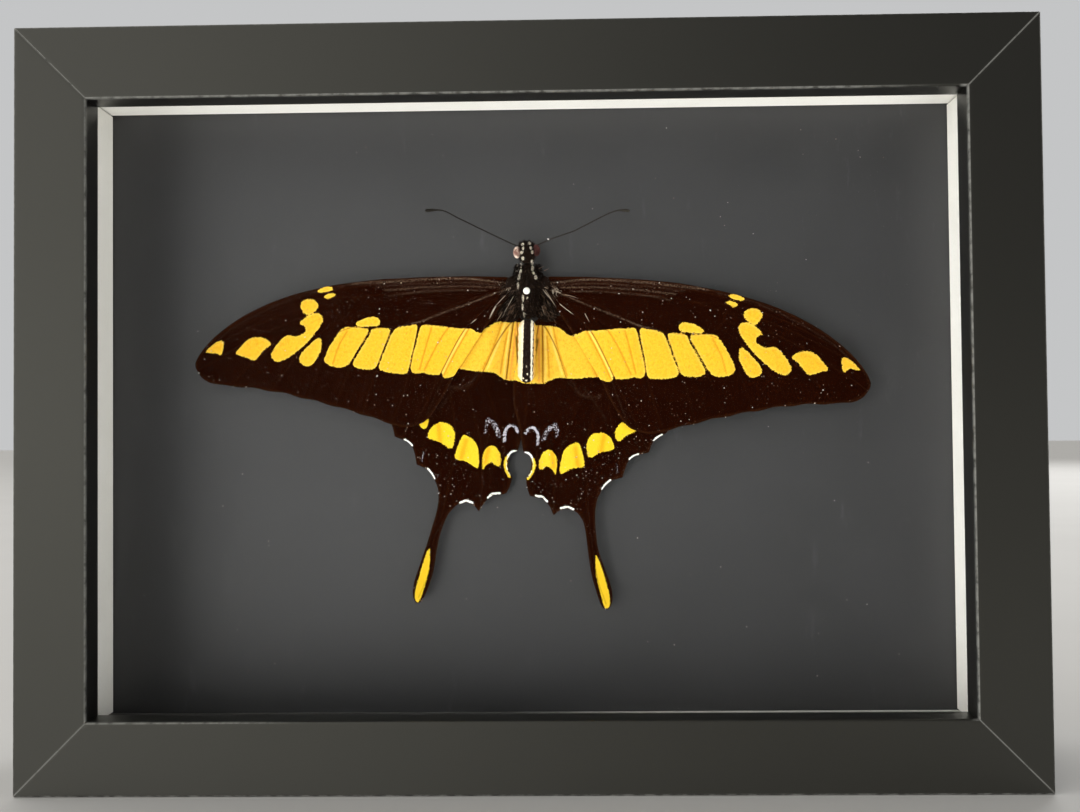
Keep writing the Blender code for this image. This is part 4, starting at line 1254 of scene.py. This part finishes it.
class SPECIMEN_OT_body(Operator):
    """Makes the head, eyes, thorax and abdomen"""

    bl_idname = "specimen.body"
    bl_label = "Body"

    def trunk(self, part):
        """Rings round an upright axis: at share s the half-width is the part's arch. The abdomen's
        is blunter, and swelled by a saw-edged ripple of eight segments."""
        share = (1 - np.cos(np.linspace(0.03, pi - 0.03, 48))) / 2
        if "ends" in part:
            width = part["half"] * arch(share, part["ends"])
        else:
            width = part["half"] * ramp(share, 0.12) ** 0.42 * ramp(1 - share, 0.10) ** 0.35
            width *= 1 + 0.10 * (np.abs(((share * 8) % 1) - 0.15) ** 0.5 - 0.6)
        angle = np.arange(48) * 2 * pi / 48
        foot, top = np.array(part["foot"]), np.array(part["top"])
        x, up = (foot + (top - foot) * share[:, None]).T[..., None]
        x, up = x + width[:, None] * np.cos(angle), up + 0 * angle
        behind = part["depth"] - part["flat"] * width[:, None] * np.sin(angle)
        return x, up, behind, angle

    def execute(self, context):
        finish = body_finish(context.scene.specimen_butterfly)
        for name, part in (("thorax", THORAX), ("head", HEAD), ("abdomen", ABDOMEN)):
            x, up, behind, angle = self.trunk(part)
            front = np.broadcast_to(np.sin(angle) > 0.1, x.shape)
            if name == "abdomen":
                # A dark stripe that slants to the left, pale sides with a fine dark line on the
                # right one, and buff outer sides; the right side's deeper buff is painted shade
                off = x + 0.08 + 0.36 * (18.3 - up) / 13.3
                side_band = np.abs(off) - 0.72 - 0.014 * (18.3 - up)
                side_band = np.where((np.abs(off - 1.36) < 0.09) & front, -0.3, side_band)
                buff_and_shade = np.where(off > 0, ramp(off - 1.2, 0.3), 0.22 + 0.3 * ramp(-off - 1.0, 0.4))
                tip_dots = spots_depth(x, up, TIP_DOTS)
                cream = np.where(front & (tip_dots > side_band), tip_dots, side_band)
            else:
                cream, buff_and_shade = np.where(front, spots_depth(x, up, CREAM_SPOTS), -1.0), 0 * x
            rings = place(x, up, behind * MM)
            points, faces = rings_piece(rings)
            values = {"cream": np.append(cream, [-1.0, -1.0]), "buff_and_shade": np.append(buff_and_shade, [0.0, 0.0])}
            faces = turned_out(points, faces)
            new_piece(f"{name}_scaled", points, faces, finish, [name], values)
        # The eyes are lit and shaded copies of one eye: the left one's pale colours are painted
        # light, the right one's dark colours painted shade.
        pale = eye_finish("lit_compound_eye", tint(120, 84, 74), tint(226, 204, 186))
        dull = eye_finish("shaded_compound_eye", tint(36, 14, 12), tint(84, 46, 42))
        for word, side, height, eye in (("left", -1, 32.5, pale), ("right", 1, 32.9, dull)):
            points, faces = ellipsoid((-0.12 + side * 2.02, height, 18.95), (0.85, 1.25, 1.0))
            new_piece(f"eye_{word}", points, faces, eye)
            # Flat dark ellipsoids: the shield over the wing roots, and the pad of scales that fills
            # the corner between the body and the two wings
            for part, middle, half in (
                ("tegula", (side * 3.3, 25.9, 20.0), (1.45, 1.75, 0.55)),
                ("wing_base", (side * 3.9, 21.6, 21.0), (2.9, 3.7, 0.30)),
            ):
                points, faces = ellipsoid(middle, half)
                dark = {"cream": np.full(len(points), -1.0)}
                new_piece(f"{part}_{word}", points, faces, finish, values=dark)
        return {"FINISHED"}


class SPECIMEN_OT_hair(Operator):
    """Makes the hair of the head, thorax and wing roots"""

    bl_idname = "specimen.hair"
    bl_label = "Hair"

    PER_SPOT, PER_ROOT, PER_SHOULDER, PER_PALP = 22, 640, 420, 150

    def tuft(self, rng, x, up, behind, run, length, spread, radius, tone, curl=0.12):
        """Hairs from drawing points: each runs along run = (x, up, towards the glass), turned by
        random amounts up to spread, for its length in millimetres, and curls by a share of it."""
        count = len(x)
        run = np.broadcast_to(np.array(run, float), (count, 3)) + rng.normal(0, spread, (count, 3))
        run /= np.linalg.norm(run, axis=1, keepdims=True)
        step = run * length[:, None] * MM
        roots = place(x, up, behind * MM)
        tips = roots + np.stack([step[:, 0], -step[:, 2], step[:, 1]], -1)
        aside = np.stack([step[:, 1], 0.3 * step[:, 2], -step[:, 0]], -1)
        bend = aside * rng.normal(0, curl, (count, 1))
        return roots, tips, bend, np.full(count, radius * MM), tone

    def coat(self, part, share, angle):
        """Places of hair roots on a part's coat: on its rings, at this angle."""
        wide = part["coat_half"] * arch(share, part["ends"])
        up = part["foot"][1] + (part["top"][1] - part["foot"][1]) * share
        x = part["coat_middle"] + wide * np.cos(angle)
        return x, up, part["depth"] - part["flat"] * wide * np.sin(angle)

    def front_of(self, part, x, up):
        """How far behind the front the part's skin lies: an ellipse across each of its rings."""
        share = (up - part["foot"][1]) / (part["top"][1] - part["foot"][1])
        # Kept off the ends, where a ring has no width: s (1 - s) is 0.01 or more
        share = np.clip(share, 0.5 - 0.24**0.5, 0.5 + 0.24**0.5)
        wide = part["half"] * arch(share, part["ends"])
        bulge = np.sqrt(np.clip(1 - (x / wide) ** 2, 0.05, 1)) * wide
        return part["depth"] - part["flat"] * bulge

    def execute(self, context):
        settings = context.scene.specimen_butterfly
        rng = np.random.default_rng(41)
        count, long_hair = settings.hair_count, settings.hair_length / MM
        sets = []

        def add(*hairs):
            sets.append(self.tuft(rng, *hairs))

        # Thorax and head coat: roots on the trunk's front half, hairs lying back along the body
        share, angle = rng.uniform(0.03, 0.97, count), rng.uniform(0.02, 0.98, count) * pi
        x, up, behind = self.coat(THORAX, share, angle)
        run = np.stack([0.75 * np.cos(angle), -0.75 - 0 * x, 0.75 * np.sin(angle)], -1)
        pale = rng.random(count) < 0.09
        tone = np.where(pale, rng.uniform(0.3, 0.6, count), rng.uniform(0.0, 0.14, count))
        add(x, up, behind, run, rng.uniform(0.45, 1.0, count) * long_hair, 0.28, 0.022, tone)
        few = count // 3
        share, angle = rng.uniform(0.05, 0.95, few), rng.uniform(0.02, 0.98, few) * pi
        x, up, behind = self.coat(HEAD, share, angle)
        run = np.stack([0.6 * np.cos(angle), 0.35 + 0 * x, 0.8 * np.sin(angle)], -1)
        tone = rng.uniform(0.0, 0.2, few)
        add(x, up, behind, run, rng.uniform(0.35, 0.8, few), 0.3, 0.022, tone)
        # Cream scales that stand in each spot
        spots = np.repeat(np.array(CREAM_SPOTS), self.PER_SPOT, axis=0)
        many = len(spots)
        turn, out = rng.uniform(0, 2 * pi, many), np.sqrt(rng.random(many))
        x = spots[:, 0] + spots[:, 2] * out * np.cos(turn)
        up = spots[:, 1] + spots[:, 3] * out * np.sin(turn)
        skins = (self.front_of(part, x, up) for part in (HEAD, THORAX))
        behind = np.where(up > 30.9, *skins) + 0.05
        length = rng.uniform(0.2, 0.4, many)
        add(x, up, behind, (0, -0.5, 0.9), length, 0.3, 0.06, rng.uniform(0.86, 1.0, many))
        for side in (-1, 1):
            # Dark fuzz over the wing roots and shoulders, with a few pale hairs in it
            many = self.PER_ROOT
            share = rng.random(many) ** 1.3
            x = side * (2.2 + 3.6 * share)
            up = 27.2 - 8.2 * rng.random(many) - 0.9 * share
            behind = 19.75 + 0.2 * rng.random(many)
            pale = rng.random(many) < 0.16
            tone = np.where(pale, rng.uniform(0.3, 0.7, many), rng.uniform(0.0, 0.12, many))
            length = rng.uniform(0.6, 1.7, many)
            add(x, up, behind, (side * 0.62, -0.75, 0.12), length, 0.30, 0.030, tone)
            many = self.PER_SHOULDER
            slope = rng.random(many)
            x = side * (1.5 + (1.0 + 0.9 * slope) * rng.random(many))
            behind = 19.5 + 0.5 * rng.random(many)
            length, tone = rng.uniform(0.5, 1.1, many), rng.uniform(0.0, 0.12, many)
            add(x, 30.2 - 3.4 * slope, behind, (side * 0.45, -0.8, 0.3), length, 0.30, 0.034, tone)
            # Palps: two short brushes that stand forward of the face
            many = self.PER_PALP
            x = -0.1 + side * 0.45 + rng.normal(0, 0.12, many)
            up = 34.2 + rng.normal(0, 0.14, many)
            length, tone = rng.uniform(0.5, 0.9, many), rng.uniform(0.0, 0.2, many)
            add(x, up, np.full(many, 18.6), (side * 0.15, 0.9, 0.35), length, 0.14, 0.03, tone)
        for middle, spread, way, length, many, tones in TUFTS:
            x = middle[0] + spread[0] * rng.uniform(-1, 1, many)
            up = middle[1] + spread[1] * rng.uniform(-1, 1, many)
            length, tone = rng.uniform(*length, many), rng.uniform(*tones, many)
            add(x, up, np.full(many, 19.4), (*way, 0.1), length, 0.30, 0.05, tone)
        for start, end, many in STRANDS:
            step = np.subtract(end, start)
            along = rng.uniform(0, 0.1, many)[:, None]
            x, up = (start + along * step + rng.normal(0, 0.05, (many, 2))).T
            reach = np.hypot(*step)
            length, tone = rng.uniform(0.85, 1.0, many) * reach, rng.uniform(0.6, 0.8, many)
            add(x, up, np.full(many, 19.5), (*(step / reach), 0.0), length, 0.02, 0.075, tone, 0.02)
        roots, tips, bend, radius, tone = (np.concatenate(part) for part in zip(*sets))
        points, faces, shares = hair_mesh(roots, tips, bend, radius)
        per_hair = len(points) // len(roots)
        new_piece("body_hair", points, faces, hair_finish(),
                  values={"tone": np.repeat(tone, per_hair), "share": shares})
        return {"FINISHED"}


class SPECIMEN_OT_antennae(Operator):
    """Makes the two clubbed antennae"""

    bl_idname = "specimen.antennae"
    bl_label = "Antennae"

    def execute(self, context):
        horns = {
            "left": horn_finish("dark_horn", tint(22, 20, 16), tint(38, 34, 28)),
            # The right antenna is a paler copy of the horn: painted light
            "right": horn_finish("lit_paler_horn", tint(38, 36, 32), tint(56, 52, 46)),
        }
        for word, horn in horns.items():
            drawn = smooth_line(ANTENNAE[word], steps=34)
            share = np.linspace(0, 1, len(drawn))
            middle = place(drawn[:, 0], drawn[:, 1], (19.0 + 1.4 * share) * MM)
            # Forty-six short joints, thickening into a club over the last sixth
            club = 0.20 * ramp(share - 0.84, 0.10) ** 1.5 * ramp(1 - share, 0.02) ** 0.4
            joint = 1 + 0.10 * np.cos(2 * pi * 46 * share)
            radius = (0.13 * joint * np.clip((1 - share) / 0.004, 0.3, 1) + club) * MM
            points, faces = rings_piece(tube_rings(middle, radius, 12))
            name, faces = f"antenna_{word}", turned_out(points, faces)
            new_piece(f"{name}_jointed", points, faces, horn, [name])
        return {"FINISHED"}


class SPECIMEN_OT_pin(Operator):
    """Makes the insect pin with its round white head"""

    bl_idname = "specimen.pin"
    bl_label = "Pin"

    def turned(self, name, radius, depth, finish, replaced=()):
        """A shape turned about the pin's line: circles of each radius at each depth."""
        angle = np.arange(24) * 2 * pi / 24
        x = PIN[0] + radius[:, None] * np.cos(angle)
        up = PIN[1] + radius[:, None] * np.sin(angle)
        points, faces = rings_piece(place(x, up, depth[:, None] * MM + 0 * angle))
        new_piece(name, points, turned_out(points, faces), finish, replaced)

    def execute(self, context):
        t = np.linspace(0.05, pi - 0.05, 20)
        white = pin_finish("white_nylon", True)
        self.turned("pin_head", 0.72 * np.sin(t), 16.0 - 0.66 * np.cos(t), white)
        depth = np.concatenate([np.linspace(16.45, 27.4, 24), np.linspace(27.6, 28.5, 6)])
        radius = np.concatenate([np.full(24, 0.21), np.linspace(0.19, 0.02, 6)])
        black = pin_finish("enamelled_steel", False)
        self.turned("pin_shaft", radius, depth, black, ["insect_pin"])
        return {"FINISHED"}


class SPECIMEN_OT_dust(Operator):
    """Scatters loose scales on the card and wings"""

    bl_idname = "specimen.dust"
    bl_label = "Loose scales"

    def execute(self, context):
        rng = np.random.default_rng(7)
        on_card, on_wing = 210, 560
        surface = []
        for kind in ("forewing_left", "forewing_right", "hindwing_left", "hindwing_right"):
            mesh = bpy.data.objects[f"{kind}_scaled"].data
            points = np.empty(3 * len(mesh.vertices), np.float32)
            mesh.vertices.foreach_get("co", points)
            points = points.reshape(-1, 3) / MM
            # Taken as often as the mesh's step there is wide, so that they lie evenly
            step = np.linalg.norm(np.diff(points, axis=0), axis=1).clip(0, 0.5)
            surface.append(points[rng.choice(len(step), on_wing // 4, p=step / step.sum())])
        wing_x, wing_y, wing_z = np.concatenate(surface).T
        speck_x, speck_up, speck_behind, speck_long = np.transpose(SPECKS)
        wing_up = wing_z - MIDDLE_HEIGHT / MM
        x = np.concatenate([rng.uniform(-84, 84, on_card), wing_x, speck_x])
        up = np.concatenate([rng.uniform(-58, 60, on_card), wing_up, speck_up])
        card = np.full(on_card, 1000 * (CARD_FRONT - FRONT) - 0.03)
        behind = np.concatenate([card, wing_y - FRONT / MM - 0.1, speck_behind])
        # A loose scale is a flat six-pointed lens: four points round its rim, one above, one below.
        long = rng.uniform(0.05, 0.15, on_card), rng.uniform(0.06, 0.19, on_wing), speck_long
        long = np.concatenate(long)[:, None]
        turn = rng.uniform(0, pi, len(x))
        ahead = np.stack([np.cos(turn), np.sin(turn)], -1) * long
        side = np.stack([-np.sin(turn), np.cos(turn)], -1) * long
        side *= rng.uniform(0.3, 0.9, (len(x), 1))
        flat = np.zeros((len(x), 6, 2))
        flat[:, :4] = np.stack([ahead, side, -ahead, -side], axis=1)
        lift = np.array([0, 0, 0, 0, -0.02, 0.02])
        flat_x, flat_up = x[:, None] + flat[..., 0], up[:, None] + flat[..., 1]
        points = place(flat_x, flat_up, (behind[:, None] + lift) * MM)
        corner = np.arange(4)
        following = (corner + 1) % 4
        lens = np.vstack([np.stack([corner, following, np.full(4, 4)], -1),
                          np.stack([following, corner, np.full(4, 5)], -1)])
        faces = (lens[None] + (np.arange(len(x)) * 6)[:, None, None]).reshape(-1, 3)
        faces = turned_out(points.reshape(-1, 3), [faces])
        tone = np.repeat(rng.uniform(0, 1, len(x)) ** 1.5, 6)
        tone[-6 * len(SPECKS):] = 1.0
        finish, values = scale_dust_finish(), {"tone": tone}
        new_piece("loose_scales", points, faces, finish, (), values, smooth=False)
        return {"FINISHED"}


# ---------------------------------------------------------------------------------------------
# Stage
# ---------------------------------------------------------------------------------------------


class SPECIMEN_OT_stage(Operator):
    """Lays the pale floor, lights it and places the camera"""

    bl_idname = "specimen.stage"
    bl_label = "Stage"

    def floor(self):
        """A round floor: circles of growing radius on z = 0."""
        radius = np.array([0.02, 0.3, 0.8, 1.6, 3.0, 6.0])
        angle = np.arange(96) * 2 * pi / 96
        x, y = radius[:, None] * np.cos(angle), radius[:, None] * np.sin(angle)
        points = np.stack([x, y, 0 * x - 0.0001], -1).reshape(-1, 3)
        f = Finish("pale_floor")
        cloud = f.noise(f.millimetres(), 0.01, 3, 0.6)
        pale = f.blend(cloud, tint(214, 213, 210), tint(206, 205, 202))
        f.surface(Base_Color=pale, Roughness=0.85)
        mesh = bpy.data.meshes.new("floor")
        quads = grid_faces(len(radius), 96, round_columns=True)
        mesh.from_pydata(points.tolist(), [], [*quads.tolist(), list(range(96))])
        mesh.materials.append(f.material)
        floor = bpy.data.objects.new("floor", mesh)
        bpy.context.scene.collection.objects.link(floor)
        floor.visible_shadow = False

    def lamp(self, name, place_at, height, size, power, colour, sheen=True):
        """A soft rectangular lamp, aimed at this height above the middle of the frame's foot."""
        light = bpy.data.lights.new(name, "AREA")
        light.shape = "RECTANGLE"
        light.size, light.size_y = size
        light.energy = power
        light.color = colour
        lamp = bpy.data.objects.new(name, light)
        lamp.location = place_at
        lamp.visible_camera = False
        lamp.visible_glossy = sheen
        ahead = Vector((0.0, 0.0, height)) - Vector(place_at)
        lamp.rotation_euler = ahead.to_track_quat("-Z", "Y").to_euler()
        bpy.context.scene.collection.objects.link(lamp)

    def surround(self, strength):
        """A pale surround for the camera. Its light is brighter on the left and far right."""
        world = bpy.data.worlds.new("surround")
        world.use_nodes = True
        tree = world.node_tree
        plain = tree.nodes["Background"]
        plain.inputs["Color"].default_value = tint(196, 197, 198)
        plain.inputs["Strength"].default_value = 1.0
        lighting = tree.nodes.new("ShaderNodeBackground")
        split = tree.nodes.new("ShaderNodeSeparateXYZ")
        tree.links.new(tree.nodes.new("ShaderNodeTexCoord").outputs["Generated"], split.inputs[0])
        bright = None
        for axis, levels in (("X", SURROUND), ("Z", SURROUND_RISE)):
            share = tree.nodes.new("ShaderNodeMapRange")
            share.inputs["From Min"].default_value = -1.0
            tree.links.new(split.outputs[axis], share.inputs["Value"])
            curve = tree.nodes.new("ShaderNodeValToRGB")
            tree.links.new(share.outputs[0], curve.inputs[0])
            stops = curve.color_ramp.elements
            for at, _ in levels[1:-1]:
                stops.new((at + 1) / 2)
            # A ramp's levels stay under 1, so each is quartered, and both are made up for below.
            for stop, (_, level) in zip(stops, levels):
                stop.color = (level / 4, level / 4, level / 4, 1.0)
            scaled = tree.nodes.new("ShaderNodeMath")
            scaled.operation = "MULTIPLY"
            if axis == "X":
                scaled.inputs[1].default_value = 16 * strength
            else:
                tree.links.new(bright, scaled.inputs[1])
            tree.links.new(curve.outputs[0], scaled.inputs[0])
            bright = scaled.outputs[0]
        tree.links.new(bright, lighting.inputs["Strength"])
        lighting.inputs["Color"].default_value = (1.0, 0.985, 0.96, 1.0)
        mix = tree.nodes.new("ShaderNodeMixShader")
        seen = tree.nodes.new("ShaderNodeLightPath").outputs["Is Camera Ray"]
        tree.links.new(seen, mix.inputs[0])
        tree.links.new(lighting.outputs[0], mix.inputs[1])
        tree.links.new(plain.outputs[0], mix.inputs[2])
        tree.links.new(mix.outputs[0], tree.nodes["World Output"].inputs["Surface"])
        bpy.context.scene.world = world

    def camera(self):
        """The camera before the glass, level with the frame but for a slight turn."""
        data = bpy.data.cameras.new("camera")
        data.sensor_width = 36.0
        data.lens = CAMERA_LENS
        data.clip_start = 0.01
        ahead = Vector(CAMERA_AHEAD).normalized()
        right = Vector(CAMERA_RIGHT)
        right = (right - ahead * right.dot(ahead)).normalized()
        turn = Matrix((right, right.cross(ahead), -ahead)).transposed().to_4x4()
        camera = bpy.data.objects.new("camera", data)
        camera.matrix_world = Matrix.Translation(CAMERA_PLACE) @ turn
        bpy.context.scene.collection.objects.link(camera)
        bpy.context.scene.camera = camera

    def execute(self, context):
        settings = context.scene.specimen_stage
        self.floor()
        self.surround(settings.surround)
        key = settings.key
        self.lamp("key", KEY_PLACE, AIM_HEIGHT, (0.70, 1.30), key, (1.0, 0.995, 0.98))
        warm = (1.0, 0.99, 0.97)
        for name, place_at, share in FILLS:
            self.lamp(name, place_at, AIM_HEIGHT, (0.5, 0.5), key * share, warm, False)
        self.lamp("back_fill", (0.9, 1.5, 1.2), 0.1, (1.0, 1.0), key * 1.2, (1.0, 1.0, 1.0))
        self.camera()
        context.scene.view_settings.view_transform = "Standard"
        return {"FINISHED"}


# ---------------------------------------------------------------------------------------------
# Add-on
# ---------------------------------------------------------------------------------------------

STEPS = (
    SPECIMEN_OT_rails, SPECIMEN_OT_glazing, SPECIMEN_OT_back, SPECIMEN_OT_wings, SPECIMEN_OT_body,
    SPECIMEN_OT_hair, SPECIMEN_OT_antennae, SPECIMEN_OT_pin, SPECIMEN_OT_dust, SPECIMEN_OT_stage,
)


class SPECIMEN_PT_panel(Panel):
    """Lists the specimen's settings and its steps"""

    bl_idname = "SPECIMEN_PT_panel"
    bl_label = "Framed butterfly"
    bl_space_type = "VIEW_3D"
    bl_region_type = "UI"
    bl_category = "Specimen"

    def draw(self, context):
        scene = context.scene
        for settings in (scene.specimen_frame, scene.specimen_butterfly, scene.specimen_stage):
            box = self.layout.box()
            for name in settings.__annotations__:
                box.prop(settings, name)
        for step in STEPS:
            self.layout.operator(step.bl_idname)


CLASSES = (FrameSettings, ButterflySettings, StageSettings, *STEPS, SPECIMEN_PT_panel)


def register():
    for cls in CLASSES:
        bpy.utils.register_class(cls)
    bpy.types.Scene.specimen_frame = PointerProperty(type=FrameSettings)
    bpy.types.Scene.specimen_butterfly = PointerProperty(type=ButterflySettings)
    bpy.types.Scene.specimen_stage = PointerProperty(type=StageSettings)


def unregister():
    scene = bpy.types.Scene
    del scene.specimen_frame, scene.specimen_butterfly, scene.specimen_stage
    for cls in reversed(CLASSES):
        bpy.utils.unregister_class(cls)


def main():
    register()
    for step in STEPS:
        group, name = step.bl_idname.split(".")
        getattr(getattr(bpy.ops, group), name)()


if __name__ == "__main__":
    main()
